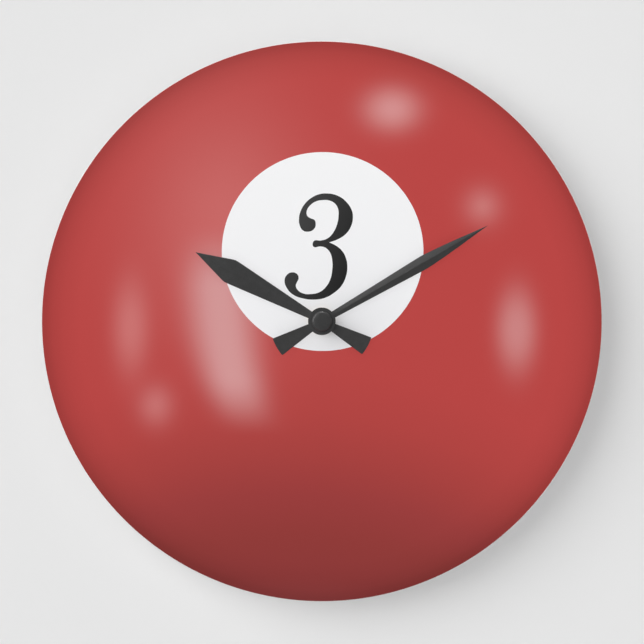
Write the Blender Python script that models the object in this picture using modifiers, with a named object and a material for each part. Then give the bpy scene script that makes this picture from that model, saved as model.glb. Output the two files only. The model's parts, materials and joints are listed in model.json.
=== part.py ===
"""Round wall clock: an acrylic disc dial and two hands on a 56 mm square quartz movement.

The clock is drawn lying on its back on a bench: x to the right, y towards twelve o'clock and
depth z from the wall towards the viewer. One empty stands the bench up, so that in the world
the clock faces -Y, +Z is up, and the origin is where the hands' axis meets the wall.
Sizes are in millimetres; MM turns them into metres where geometry is made.
"""

import math

import bmesh
import bpy

MM = 0.001
TAU = 2.0 * math.pi

# Dial: a 3 mm disc, and the printed film on its front
DIAL_RADIUS = 136.5
DIAL_BACK = 18.6
DIAL_FRONT = 21.6
DIAL_CHAMFER = 0.5
DIAL_HOLE = 4.3
PRINT_RADIUS = 136.0
PRINT_BACK = 21.7
PRINT_FRONT = 21.95
DIAL_SIDES = 96

# Movement case: square outside, gear chamber above a trough for one AA cell
CASE_HALF = 28.0
CASE_CORNER = 2.5
CASE_FRONT = 16.5
CASE_WALL = 1.1
CHAMBER_FRONT = 15.1
CHAMBER_LOW = -11.0
TROUGH_TOP = -12.0
TROUGH_BOTTOM = -27.0
TROUGH_FRONT = 15.5
COVER_THICKNESS = 1.2
COVER_SEAT = 1.3
COVER_LOW = TROUGH_TOP
BRIDGE_BACK = 2.2
BRIDGE_FRONT = 3.0

# Running clearances and the gap that separates touching pieces
GAP = 0.1
PIVOT_RADIUS = 0.35
PIVOT_PLAY = 0.07
SECONDS_RADIUS = 0.5
SCREW_CLEARANCE = 0.85
KNOB_RECESS = 5.7
KNOB_RADIUS = 5.3

# Hands: clock angles clockwise from twelve in degrees, blades as (distance, half width) from
# boss to tip, and the tail as neck half width, end half width and waist
MINUTE_ANGLE = 60.0
HOUR_ANGLE = 298.7
HUB_RADIUS = 6.7
HAND_TAIL = 25.3
HOUR_BLADE = ((6.4, 1.85), (50.7, 6.14), (69.9, 0.0))
MINUTE_BLADE = ((6.5, 1.68), (32.0, 2.55), (57.5, 3.4), (66.9, 2.75), (76.0, 1.9), (92.8, 0.0))
TAIL = (2.1, 4.7, 0.1)
HOUR_HAND_BACK = 25.6
MINUTE_HAND_BACK = 28.0
HAND_THICKNESS = 0.8
NUT_RADIUS = 4.85
NUT_BORE = 1.58
NUT_BACK = 28.9
NUT_FRONT = 31.0

# Train: every wheel turns on one of these centres
AXIS = (0.0, 0.0)
TRAIN_DISTANCE = 10.8
MOTION_DISTANCE = 9.6


def polar(distance, degrees, origin=AXIS):
    """Point at a distance and direction from an origin."""
    turn = math.radians(degrees)
    return (origin[0] + distance * math.cos(turn), origin[1] + distance * math.sin(turn))


THIRD = polar(TRAIN_DISTANCE, 20.0)
INTERMEDIATE = polar(TRAIN_DISTANCE, 150.0)
ROTOR = polar(8.4, 169.0, INTERMEDIATE)
MINUTE_POST = polar(MOTION_DISTANCE, 90.0)
SETTING = polar(9.2, 65.0, MINUTE_POST)

# Tooth forms: tooth width as a share of the pitch, addendum and dedendum in modules, and the
# widths at tip, pitch line and root as shares of it. Wheel teeth are plain wedges; a gear with
# MOST_LEAVES or fewer is a pinion.
MOST_LEAVES = 12
PINION_FORM = (0.40, 0.80, 1.30, (0.45, 1.0, 0.90))
WHEEL_FORM = (0.44, 0.85, 1.30, (0.36, None, 1.0))

# Battery, lying along x in the trough
CELL_Y = -19.5
CELL_DEPTH = 8.0
CELL_RADIUS = 7.0
SLEEVE_RADIUS = 7.25

# Coil and its core, along x near the top of the case
COIL_Y = 21.0
COIL_DEPTH = 8.6
COIL_LEFT = -21.0
COIL_RIGHT = -6.8
STATOR_BACK = 7.0
STATOR_FRONT = 8.0
STATOR_SCREWS = (-23.5, -4.4)

# Fixing points
COVER_SCREWS = ((-24.9, 24.9), (24.9, 24.9), (-23.9, -8.5), (23.9, -8.5))
BRIDGE_POSTS = ((-20.4, -7.0), (22.0, -1.0), (22.0, 12.0))
BOARD_BACK = 11.3
BOARD_FRONT = 12.3
STRIP_BACK = 4.5
STRIP_FRONT = 11.0
HANGER_HALF = 12.0
KEYHOLE_Y = 36.5
KEYHOLE_RADIUS = 4.4
KEYHOLE_SLOT_HALF = 2.1
KEYHOLE_SLOT_LENGTH = 5.2

FINISHES = {
    "clear_acrylic": ((0.93, 0.86, 0.86), 0.12, 0.0),
    "printed_film": ((0.50, 0.07, 0.06), 0.35, 0.0),
    "black_lacquer": ((0.04, 0.04, 0.04), 0.35, 0.0),
    "case_plastic": ((0.03, 0.03, 0.03), 0.55, 0.0),
    "white_plastic": ((0.82, 0.81, 0.77), 0.45, 0.0),
    "brass": ((0.72, 0.53, 0.24), 0.30, 1.0),
    "steel": ((0.62, 0.62, 0.64), 0.32, 1.0),
    "zinc_steel": ((0.70, 0.70, 0.68), 0.38, 1.0),
    "stator_iron": ((0.45, 0.44, 0.43), 0.40, 1.0),
    "copper_wire": ((0.65, 0.27, 0.12), 0.35, 1.0),
    "rubber": ((0.03, 0.03, 0.03), 0.85, 0.0),
    "board": ((0.07, 0.25, 0.12), 0.50, 0.0),
    "resin": ((0.02, 0.02, 0.02), 0.40, 0.0),
    "magnet": ((0.20, 0.19, 0.19), 0.45, 1.0),
    "cell_sleeve": ((0.10, 0.16, 0.28), 0.35, 0.0),
}


# ---------------------------------------------------------------- scene and finishes


def clear_scene():
    """Remove every object that the file holds."""
    for item in list(bpy.data.objects):
        bpy.data.objects.remove(item, do_unlink=True)


def new_collection(name):
    """Add a collection to the scene."""
    group = bpy.data.collections.new(name)
    bpy.context.scene.collection.children.link(group)
    return group


def finish_material(finish):
    """Principled material for one named finish, made once."""
    known = bpy.data.materials.get(finish)
    if known:
        return known
    colour, roughness, metallic = FINISHES[finish]
    material = bpy.data.materials.new(finish)
    material.use_nodes = True
    shader = material.node_tree.nodes["Principled BSDF"]
    shader.inputs["Base Color"].default_value = (*colour, 1.0)
    shader.inputs["Roughness"].default_value = roughness
    shader.inputs["Metallic"].default_value = metallic
    material.diffuse_color = (*colour, 1.0)
    return material


clear_scene()
CLOCK = new_collection("wall_clock")
TOOLS = new_collection("cutters")
BENCH = bpy.data.objects.new("bench", None)
BENCH.rotation_euler = (math.radians(90.0), 0.0, 0.0)
CLOCK.objects.link(BENCH)


def place(item, finish, at, depth, turn, is_tool):
    """Link an object, stand it on the bench and give it its finish."""
    (TOOLS if is_tool else CLOCK).objects.link(item)
    item.parent = BENCH
    item.location = (at[0] * MM, at[1] * MM, depth * MM)
    item.rotation_euler = tuple(math.radians(angle) for angle in turn)
    if is_tool:
        item.hide_render = True
        item.display_type = "WIRE"
    else:
        item.data.materials.append(finish_material(finish))
    return item


# ---------------------------------------------------------------- outlines


def circle(radius, count=24, centre=AXIS, start=0.0):
    """Points round a circle."""
    return [polar(radius, start + 360.0 * k / count, centre) for k in range(count)]


def arc(radius, first, last, count, centre=AXIS):
    """Points along an arc between two directions in degrees, ends included."""
    step = (last - first) / (count - 1)
    return [polar(radius, first + k * step, centre) for k in range(count)]


def rounded_square(half, corner, steps=4):
    """Square outline with round corners."""
    inner = half - corner
    loop = []
    middles = ((inner, inner), (-inner, inner), (-inner, -inner), (inner, -inner))
    for quarter, (x, y) in enumerate(middles):
        loop += arc(corner, 90.0 * quarter, 90.0 * (quarter + 1), steps, (x, y))
    return loop


def strip_outline(route, thickness):
    """Outline of a bent strip: its middle line, set off to both sides with mitred corners."""
    sides = ([], [])
    for k, (x, y) in enumerate(route):
        before = route[max(k - 1, 0)]
        after = route[min(k + 1, len(route) - 1)]
        into = _unit(x - before[0], y - before[1]) if k else None
        away = _unit(after[0] - x, after[1] - y) if k < len(route) - 1 else into
        into = into or away
        bisector = _unit(-into[1] - away[1], into[0] + away[0])
        reach = thickness / 2.0 / (-bisector[0] * into[1] + bisector[1] * into[0])
        for side, sign in zip(sides, (1.0, -1.0)):
            side.append((x + sign * bisector[0] * reach, y + sign * bisector[1] * reach))
    return sides[0] + sides[1][::-1]


def _unit(x, y):
    """Direction of a vector, at length one."""
    length = math.hypot(x, y)
    return (x / length, y / length)


def gear_outline(teeth, module, form, phase=0.0):
    """Outline of a gear about its own centre, with a tooth centred at the phase angle."""
    width, addendum, dedendum, shares = form
    pitch_radius = module * teeth / 2.0
    half = width * TAU / teeth / 2.0
    radii = (pitch_radius + addendum * module, pitch_radius, pitch_radius - dedendum * module)
    flank = [(radius, share * half) for radius, share in zip(radii, shares) if share is not None]
    tooth = [(radius, -a) for radius, a in reversed(flank)] + flank
    loop = []
    for k in range(teeth):
        middle = phase + k * TAU / teeth
        loop += [(r * math.cos(middle + a), r * math.sin(middle + a)) for r, a in tooth]
    return loop


def mesh_phase(teeth_a, phase_a, centre_a, teeth_b, centre_b):
    """Phase of gear b that puts its gap on gear a's tooth, along their line of centres."""
    line = math.atan2(centre_b[1] - centre_a[1], centre_b[0] - centre_a[0])
    shown = (line - phase_a) * teeth_a / TAU
    return line + math.pi - (0.5 - shown) * TAU / teeth_b


# ---------------------------------------------------------------- solids


def plate(name, loops, back, front, finish="", at=AXIS, turn=(0.0, 0.0, 0.0), is_tool=False):
    """Flat piece between two depths. The first loop is its outline and the others are holes."""
    curve = bpy.data.curves.new(name, "CURVE")
    curve.dimensions = "2D"
    curve.fill_mode = "BOTH"
    curve.extrude = (front - back) / 2.0 * MM
    for loop in loops:
        spline = curve.splines.new("POLY")
        spline.points.add(len(loop) - 1)
        for point, (x, y) in zip(spline.points, loop):
            point.co = (x * MM, y * MM, 0.0, 1.0)
        spline.use_cyclic_u = True
    piece = bpy.data.objects.new(name, curve)
    return place(piece, finish, at, (back + front) / 2.0, turn, is_tool)


def solid_plate(name, loops, back, front, finish="", at=AXIS, turn=(0.0, 0.0, 0.0), is_tool=False):
    """Flat piece as a welded mesh, which can be cut and joined."""
    curve_piece = plate(name + "_outline", loops, back, front, finish, at, turn, is_tool)
    bpy.context.view_layer.update()
    graph = bpy.context.evaluated_depsgraph_get()
    mesh = bpy.data.meshes.new_from_object(curve_piece.evaluated_get(graph))
    mesh.name = name
    work = bmesh.new()
    work.from_mesh(mesh)
    bmesh.ops.remove_doubles(work, verts=work.verts, dist=0.001 * MM)
    work.to_mesh(mesh)
    work.free()
    bpy.data.objects.remove(curve_piece, do_unlink=True)
    mesh.materials.clear()
    return place(bpy.data.objects.new(name, mesh), finish, at, (back + front) / 2.0, turn, is_tool)


def turned(name, profile, finish="", at=AXIS, depth=0.0, turn=(0.0, 0.0, 0.0), steps=20,
           ring=False, is_tool=False):
    """Turned piece from a profile of (radius, depth) points that runs down its outer side."""
    mesh = bpy.data.meshes.new(name)
    points = [(radius * MM, 0.0, height * MM) for radius, height in profile]
    edges = [(k, k + 1) for k in range(len(points) - 1)]
    if ring:
        edges.append((len(points) - 1, 0))
    mesh.from_pydata(points, edges, [])
    piece = place(bpy.data.objects.new(name, mesh), finish, at, depth, turn, is_tool)
    screw = piece.modifiers.new("turn", "SCREW")
    screw.axis = "Z"
    screw.steps = steps
    screw.render_steps = steps
    screw.use_merge_vertices = True
    screw.merge_threshold = 0.001 * MM
    screw.use_smooth_shade = True
    return piece


def ring_profile(bore, radius, back, front):
    """Profile of a plain ring or tube."""
    return [(bore, front), (radius, front), (radius, back), (bore, back)]


def arbor_profile(steps):
    """Profile of a stepped arbor from (front, back, radius) lengths, listed front to back."""
    profile = [(0.0, steps[0][0])]
    for front, back, radius in steps:
        profile += [(radius, front), (radius, back)]
    profile.append((0.0, steps[-1][1]))
    return profile


def rod_tool(name, radius, back, front, at=AXIS, sides=20):
    """Round bar for cutting or joining."""
    mesh = bpy.data.meshes.new(name)
    work = bmesh.new()
    bmesh.ops.create_cone(work, cap_ends=True, segments=sides, radius1=radius * MM,
                          radius2=radius * MM, depth=(front - back) * MM)
    work.to_mesh(mesh)
    work.free()
    rod = bpy.data.objects.new(name, mesh)
    return place(rod, "", at, (back + front) / 2.0, (0.0, 0.0, 0.0), True)


def box_tool(name, low, high, turn=0.0):
    """Box for cutting or joining, between two corners on the bench, then turned in its plane."""
    mesh = bpy.data.meshes.new(name)
    work = bmesh.new()
    bmesh.ops.create_cube(work, size=1.0)
    sides = [(b - a) * MM for a, b in zip(low, high)]
    bmesh.ops.scale(work, vec=sides, verts=work.verts)
    work.to_mesh(mesh)
    work.free()
    middle = [(a + b) / 2.0 for a, b in zip(low, high)]
    box = bpy.data.objects.new(name, mesh)
    return place(box, "", middle[:2], middle[2], (0.0, 0.0, turn), True)


def combine(piece, operation, tools):
    """Join tools to a piece, or cut them from it, one exact Boolean each."""
    for tool in tools:
        boolean = piece.modifiers.new(tool.name, "BOOLEAN")
        boolean.operation = operation
        boolean.solver = "EXACT"
        boolean.object = tool
    return piece


def wheel_and_pinion(name, finish, centre, wheel, pinion, arbor, bore=0.0):
    """One moulded piece: a wheel, a pinion and the arbor or tube that carries both.

    wheel and pinion are (teeth, module, phase, back, front); arbor is a profile for turned().
    """
    teeth, module, phase, back, front = wheel
    hole = [circle(bore, 20)] if bore else []
    form = WHEEL_FORM if teeth > MOST_LEAVES else PINION_FORM
    outline = gear_outline(teeth, module, form, phase)
    piece = solid_plate(name, [outline] + hole, back, front, finish, centre)
    joined = []
    if pinion:
        teeth, module, phase, back, front = pinion
        outline = gear_outline(teeth, module, PINION_FORM, phase)
        joined.append(solid_plate(name + "_leaves", [outline] + hole, back, front, "", centre,
                                  is_tool=True))
    if arbor:
        joined.append(turned(name + "_arbor", arbor, "", centre, ring=bool(bore), is_tool=True))
    return combine(piece, "UNION", joined)


# ---------------------------------------------------------------- dial


def build_dial():
    """Acrylic disc, its printed front, and the gasket, washer, nut and hanger that clamp it."""
    edge = DIAL_RADIUS - DIAL_CHAMFER
    turned("dial_plate",
           [(DIAL_HOLE, DIAL_FRONT), (edge, DIAL_FRONT), (DIAL_RADIUS, DIAL_FRONT - DIAL_CHAMFER),
            (DIAL_RADIUS, DIAL_BACK + DIAL_CHAMFER), (edge, DIAL_BACK), (DIAL_HOLE, DIAL_BACK)],
           "clear_acrylic", steps=DIAL_SIDES, ring=True)
    turned("dial_print", ring_profile(DIAL_HOLE, PRINT_RADIUS, PRINT_BACK, PRINT_FRONT),
           "printed_film", steps=DIAL_SIDES, ring=True)
    turned("rubber_gasket", ring_profile(DIAL_HOLE, 12.0, 17.5, 18.5), "rubber", steps=32,
           ring=True)
    turned("dial_washer", ring_profile(4.15, 6.4, 22.0, 22.4), "brass", steps=32, ring=True)
    plate("hex_nut", [circle(6.35, 6), circle(4.1, 24)], 22.5, 24.2, "brass")


def build_hanger():
    """Steel hanger: flat under the dial, bent back above the case, with a keyhole for the nail."""
    side = strip_outline([(-10.0, 17.0), (29.2, 17.0), (31.4, 12.6), (44.0, 12.6)], 0.8)
    hanger = solid_plate("hanger_plate", [side], -HANGER_HALF, HANGER_HALF, "zinc_steel",
                         turn=(90.0, 0.0, 90.0))
    slot_top = KEYHOLE_Y + KEYHOLE_SLOT_LENGTH
    combine(hanger, "DIFFERENCE", [
        rod_tool("hanger_bush_hole", DIAL_HOLE, 15.0, 19.0, sides=24),
        rod_tool("keyhole_round", KEYHOLE_RADIUS, 10.0, 15.0, (0.0, KEYHOLE_Y), 24),
        box_tool("keyhole_slot", (-KEYHOLE_SLOT_HALF, KEYHOLE_Y, 10.2),
                 (KEYHOLE_SLOT_HALF, slot_top, 14.8)),
    ])


# ---------------------------------------------------------------- case


def build_case():
    """Front case with trough, chamber, bosses and posts; rear cover; train bridge; bush."""
    case = solid_plate("case_front", [rounded_square(CASE_HALF, CASE_CORNER)], 0.0, CASE_FRONT,
                       "case_plastic")
    inside = CASE_HALF - CASE_WALL
    combine(case, "DIFFERENCE", [
        box_tool("cover_seat", (-30.0, COVER_LOW - GAP, -2.0), (30.0, 30.0, COVER_SEAT)),
        box_tool("chamber", (-inside, CHAMBER_LOW, -1.5), (inside, inside, CHAMBER_FRONT)),
        box_tool("trough", (-inside, TROUGH_BOTTOM, -1.0), (inside, TROUGH_TOP, TROUGH_FRONT)),
        box_tool("notch_left", (-26.7, TROUGH_TOP - 1.0, -0.5), (-26.0, CHAMBER_LOW + 1.0, 11.2)),
        box_tool("notch_right", (26.0, TROUGH_TOP - 1.0, -0.5), (26.7, CHAMBER_LOW + 1.0, 11.2)),
    ])
    wall = CHAMBER_FRONT + 0.5
    posts = [rod_tool(f"cover_boss_{k}", 1.7, COVER_SEAT, wall, spot, 16)
             for k, spot in enumerate(COVER_SCREWS)]
    posts += [rod_tool(f"stator_boss_{k}", 1.7, 9.2, wall, (x, COIL_Y), 16)
              for k, x in enumerate(STATOR_SCREWS)]
    for k, spot in enumerate(BRIDGE_POSTS):
        posts.append(rod_tool(f"bridge_foot_{k}", 2.1, BOARD_FRONT + GAP, wall, spot, 16))
        posts.append(rod_tool(f"bridge_post_{k}", 1.3, BRIDGE_FRONT + GAP, wall - 0.1, spot, 16))
        posts.append(rod_tool(f"bridge_peg_{k}", 0.6, BRIDGE_BACK - 0.5, wall - 0.2, spot, 12))
    posts.append(rod_tool("rotor_boss", 1.6, 9.6, wall, ROTOR, 16))
    posts.append(rod_tool("minute_boss", 1.6, 13.6, wall, MINUTE_POST, 16))
    posts.append(rod_tool("minute_post", 0.92, 9.9, wall - 0.1, MINUTE_POST, 16))
    combine(case, "UNION", posts)
    holes = [rod_tool("bush_hole", 4.1, 14.0, 18.0, sides=24)]
    holes += [rod_tool(f"cover_pilot_{k}", 0.8, 0.0, 8.0, spot, 12)
              for k, spot in enumerate(COVER_SCREWS)]
    holes += [rod_tool(f"stator_pilot_{k}", 0.8, 9.0, 13.5, (x, COIL_Y), 12)
              for k, x in enumerate(STATOR_SCREWS)]
    sockets = (("third", THIRD, 0.42, 14.9, 15.9), ("intermediate", INTERMEDIATE, 0.42, 14.9, 15.9),
               ("rotor", ROTOR, 0.42, 9.0, 10.6), ("setting", SETTING, 0.87, 14.9, 16.0))
    holes += [rod_tool(f"{name}_socket", radius, back, front, spot, 12)
              for name, spot, radius, back, front in sockets]
    combine(case, "DIFFERENCE", holes)


def build_cover():
    """Flat rear cover with the recess for the setting knob and four counterbored screw holes."""
    corner = CASE_HALF - CASE_CORNER
    outline = [(-CASE_HALF, COVER_LOW), (CASE_HALF, COVER_LOW)]
    outline += arc(CASE_CORNER, 0.0, 90.0, 4, (corner, corner))
    outline += arc(CASE_CORNER, 90.0, 180.0, 4, (-corner, corner))
    loops = [outline, circle(KNOB_RECESS, 28, SETTING)]
    loops += [circle(SCREW_CLEARANCE, 12, spot) for spot in COVER_SCREWS]
    cover = solid_plate("rear_cover", loops, 0.0, COVER_THICKNESS, "case_plastic")
    combine(cover, "DIFFERENCE", [rod_tool(f"counterbore_{k}", 1.8, -1.0, 0.75, spot, 16)
                                  for k, spot in enumerate(COVER_SCREWS)])


def build_bridge():
    """Inner plate that carries the rear pivots of the train."""
    outline = [(-21.8, -9.6), (21.6, -9.6), (21.6, -6.3), (24.6, -6.3), (24.6, 14.2), (9.5, 14.2),
               (9.5, 21.5), (-0.5, 21.5), (-0.5, 17.5), (-4.5, 13.5), (-21.8, 13.5)]
    loops = [outline, circle(SECONDS_RADIUS + PIVOT_PLAY, 16), circle(1.6, 20, SETTING)]
    loops += [circle(PIVOT_RADIUS + PIVOT_PLAY, 12, spot) for spot in (THIRD, INTERMEDIATE, ROTOR)]
    loops += [circle(0.7, 12, spot) for spot in BRIDGE_POSTS]
    plate("train_bridge", loops, BRIDGE_BACK, BRIDGE_FRONT, "white_plastic")


def build_screw(name, at, head_back, head_front, tip, turn_slot):
    """Pan-head screw seen from behind, with a slot across its head."""
    profile = arbor_profile([(tip, head_front - 0.1, 0.7), (head_front, head_back, 1.5)])
    screw = turned(name, profile, "steel", at, steps=12)
    slot = box_tool(name + "_slot", (at[0] - 2.0, at[1] - 0.2, head_back - 1.0),
                    (at[0] + 2.0, at[1] + 0.2, head_back + 0.3), turn_slot)
    combine(screw, "DIFFERENCE", [slot])


def build_fixings():
    """Threaded bush and every screw."""
    turned("threaded_bush",
           [(2.6, 24.4), (3.7, 24.4), (3.95, 24.1), (3.95, 15.0), (5.5, 15.0), (5.5, 13.9),
            (2.6, 13.9)],
           "brass", steps=32, ring=True)
    for k, spot in enumerate(COVER_SCREWS):
        build_screw(f"cover_screw_{k + 1}", spot, 0.1, 0.65, 7.0, 35.0 + 40.0 * k)
    for side, x in zip(("left", "right"), STATOR_SCREWS):
        build_screw(f"stator_screw_{side}", (x, COIL_Y), 6.1, 6.9, 12.5, 90.0 + 3.0 * x)


# ---------------------------------------------------------------- electrics


def build_motor():
    """Coil, core and stator of the stepping motor."""
    middle = (COIL_LEFT + COIL_RIGHT) / 2.0
    half = (COIL_RIGHT - COIL_LEFT) / 2.0
    along_x = (0.0, 90.0, 0.0)
    bobbin = [(1.75, half), (4.0, half), (4.0, half - 0.7), (2.3, half - 0.7),
              (2.3, 0.7 - half), (4.0, 0.7 - half), (4.0, -half), (1.75, -half)]
    turned("coil_bobbin", bobbin, "white_plastic", (middle, COIL_Y), COIL_DEPTH, along_x, ring=True)
    wound = half - 0.7 - GAP
    turned("coil_winding", ring_profile(2.4, 3.8, -wound, wound), "copper_wire",
           (middle, COIL_Y), COIL_DEPTH, along_x, ring=True)
    core = [(-25.8, COIL_Y - 1.4), (-2.2, COIL_Y - 1.4), (-2.2, COIL_Y + 1.4),
            (-25.8, COIL_Y + 1.4)]
    holes = [circle(SCREW_CLEARANCE, 12, (x, COIL_Y)) for x in STATOR_SCREWS]
    plate("coil_core", [core] + holes, STATOR_FRONT + GAP, STATOR_FRONT + GAP + 1.0, "stator_iron")
    stator = [(-25.8, 22.7), (-21.5, 22.7), (-21.5, 14.0), (-19.5, 11.9), (-15.7, 11.9),
              (-6.4, 16.3), (-6.4, 22.7), (-2.2, 22.7), (-2.2, 17.2), (-11.9, 8.6),
              (-12.5, 5.0), (-15.2, 2.0), (-20.0, 2.0), (-22.8, 4.4), (-25.8, 10.0)]
    plate("stator_plate", [stator, circle(3.4, 24, ROTOR)] + holes, STATOR_BACK, STATOR_FRONT,
          "stator_iron")


def build_board():
    """Circuit board with its chip and crystal, and the two battery contact strips."""
    outline = [(18.5, -5.8), (25.7, -5.8), (25.7, 22.2), (9.5, 22.2), (9.5, 15.5), (18.5, 15.5)]
    plate("circuit_board", [outline] + [circle(1.6, 12, spot) for spot in BRIDGE_POSTS[1:]],
          BOARD_BACK, BOARD_FRONT, "board")
    chip = [(0.0, 0.0), (2.3, 0.0), (2.3, -0.5), (2.1, -0.9), (0.0, -0.9)]
    turned("driver_chip", chip, "resin", (12.6, 18.8), BOARD_BACK - GAP, steps=16)
    turned("quartz_crystal", arbor_profile([(3.0, -3.0, 1.0)]), "steel", (19.2, 19.0),
           BOARD_BACK - GAP - 1.0, (0.0, 90.0, 0.0), steps=12)
    positive = [(26.35, -26.0), (26.35, -3.0), (24.0, -3.0)]
    negative = [(-26.35, -26.0), (-26.35, -23.5), (-25.4, -20.5), (-25.4, -18.5), (-26.35, -15.5),
                (-26.35, -10.7), (20.4, -10.7), (20.4, -4.6)]
    for name, route in (("positive_contact", positive), ("negative_contact", negative)):
        plate(name, [strip_outline(route, 0.3)], STRIP_BACK, STRIP_FRONT, "zinc_steel")


def build_battery():
    """AA cell: steel can with its button, and the printed sleeve round it."""
    along_x = (0.0, 90.0, 0.0)
    can = [(0.0, 25.9), (2.7, 25.9), (2.7, 24.9), (6.6, 24.9), (CELL_RADIUS, 24.5),
           (CELL_RADIUS, -24.4), (6.6, -24.8), (0.0, -24.8)]
    turned("battery_can", can, "steel", (0.0, CELL_Y), CELL_DEPTH, along_x, steps=32)
    turned("battery_sleeve", ring_profile(CELL_RADIUS + GAP, SLEEVE_RADIUS, -24.2, 24.3),
           "cell_sleeve", (0.0, CELL_Y), CELL_DEPTH, along_x, steps=32, ring=True)


# ---------------------------------------------------------------- train


def build_train():
    """Rotor and the wheels from it to the centre wheel, each meshed with the one before."""
    fine, coarse, final = 0.3, 0.45, 2.0 * TRAIN_DISTANCE / 68.0
    to_seconds = mesh_phase(40, 0.0, AXIS, 8, INTERMEDIATE)
    to_rotor = mesh_phase(48, 0.0, INTERMEDIATE, 8, ROTOR)
    to_third = mesh_phase(8, 0.0, AXIS, 64, THIRD)
    to_centre = mesh_phase(8, 0.0, THIRD, 60, AXIS)

    wheel_and_pinion("rotor_pinion", "white_plastic", ROTOR, (8, fine, to_rotor, 3.2, 4.5), None,
                     arbor_profile([(10.3, 9.4, PIVOT_RADIUS), (9.4, 6.2, 0.7), (6.2, 5.9, 1.3),
                                    (5.9, 3.1, 0.7), (3.1, 2.3, PIVOT_RADIUS)]))
    turned("rotor_magnet", ring_profile(0.8, 2.9, 6.3, 8.6), "magnet", ROTOR, steps=24, ring=True)
    wheel_and_pinion("intermediate_wheel", "white_plastic", INTERMEDIATE,
                     (48, fine, 0.0, 3.4, 4.2), (8, coarse, to_seconds, 4.0, 6.0),
                     arbor_profile([(15.7, 15.0, PIVOT_RADIUS), (15.0, 3.1, 0.5),
                                    (3.1, 2.3, PIVOT_RADIUS)]))
    wheel_and_pinion("seconds_wheel", "white_plastic", AXIS, (40, coarse, 0.0, 5.0, 5.8),
                     (8, fine, 0.0, 5.6, 7.8), ring_profile(0.56, 1.1, 3.3, 5.4), bore=0.56)
    turned("seconds_arbor", arbor_profile([(29.0, 2.3, SECONDS_RADIUS)]), "steel", steps=16)
    wheel_and_pinion("third_wheel", "white_plastic", THIRD, (64, fine, to_third, 6.8, 7.6),
                     (8, final, 0.0, 7.4, 9.6),
                     arbor_profile([(15.7, 15.0, PIVOT_RADIUS), (15.0, 3.1, 0.6),
                                    (3.1, 2.3, PIVOT_RADIUS)]))
    plate("centre_wheel", [gear_outline(60, final, WHEEL_FORM, to_centre), circle(1.95, 24)],
          8.6, 9.4, "brass")
    turned("clutch_spring",
           [(1.95, 10.25), (2.2, 10.25), (4.3, 9.65), (4.3, 9.5), (4.15, 9.5), (1.95, 10.1)],
           "steel", steps=20, ring=True)


def build_motion_work():
    """Minute tube, minute wheel, hour wheel and setting knob: minutes to hours, and setting."""
    module, hour_module = 0.4, 2.0 * MOTION_DISTANCE / 50.0
    minute_phase = mesh_phase(12, 0.0, AXIS, 36, MINUTE_POST)
    hour_phase = mesh_phase(10, 0.0, MINUTE_POST, 40, AXIS)
    setting_phase = mesh_phase(36, minute_phase, MINUTE_POST, 10, SETTING)

    minute_tube = [(0.8, 29.7), (1.5, 29.7), (1.5, 27.9), (1.75, 27.9), (1.75, 10.3), (1.85, 10.3),
                   (1.85, 8.5), (2.05, 8.4), (2.05, 8.2), (1.9, 7.95), (0.8, 7.95)]
    wheel_and_pinion("minute_tube", "brass", AXIS, (12, module, 0.0, 10.4, 11.5), None,
                     minute_tube, bore=0.8)
    wheel_and_pinion("minute_wheel", "white_plastic", MINUTE_POST,
                     (36, module, minute_phase, 10.4, 11.4), (10, hour_module, 0.0, 11.2, 13.3),
                     None, bore=1.0)
    hour_tube = [(1.85, 26.9), (2.5, 26.9), (2.5, 13.6), (3.4, 13.6), (3.4, 11.8), (1.85, 11.8)]
    wheel_and_pinion("hour_wheel", "white_plastic", AXIS,
                     (40, hour_module, hour_phase, 12.2, 13.2), None, hour_tube, bore=1.85)
    knob = wheel_and_pinion("setting_knob", "case_plastic", SETTING,
                            (10, module, setting_phase, 10.3, 11.5), None,
                            arbor_profile([(15.8, 14.9, 0.8), (14.9, 1.7, 1.44)]))
    rim = [polar(KNOB_RADIUS if k % 2 else KNOB_RADIUS - 0.3, 9.0 * k) for k in range(40)]
    combine(knob, "UNION", [solid_plate("knob_rim", [rim], 0.3, 1.9, "", SETTING, is_tool=True)])


# ---------------------------------------------------------------- hands


def hand_outline(blade, tail_neck, tail_end, waist):
    """Outline of a hand that points to twelve: blade, round boss and flared tail.

    blade is (distance, half width) from the boss to the tip. The tail's half width grows from
    tail_neck at the boss to tail_end at HAND_TAIL along a curve that sags by waist at its
    middle, and the tail ends in an arc about the axis.
    """
    def boss_direction(half_width):
        return math.degrees(math.asin(half_width / HUB_RADIUS))

    root = blade[0][1]
    right = [(half, distance) for distance, half in blade]
    loop = right + [(-x, y) for x, y in reversed(right) if x > 0.0]
    at_root, at_neck = boss_direction(root), boss_direction(tail_neck)
    loop += arc(HUB_RADIUS, 90.0 + at_root, 270.0 - at_neck, 10)[1:-1]
    start = math.sqrt(HUB_RADIUS ** 2 - tail_neck ** 2)
    flare = math.degrees(math.asin(tail_end / HAND_TAIL))
    stop = HAND_TAIL * math.cos(math.radians(flare))
    side = []
    for k in range(7):
        t = k / 6.0
        side.append((tail_neck + (tail_end - tail_neck) * t - waist * 4.0 * t * (1.0 - t),
                     -(start + (stop - start) * t)))
    loop += [(-x, y) for x, y in side]
    loop += arc(HAND_TAIL, 270.0 - flare, 270.0 + flare, 7)[1:-1]
    loop += list(reversed(side))
    loop += arc(HUB_RADIUS, -90.0 + at_neck, 90.0 - at_root, 10)[1:-1]
    return loop


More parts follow.
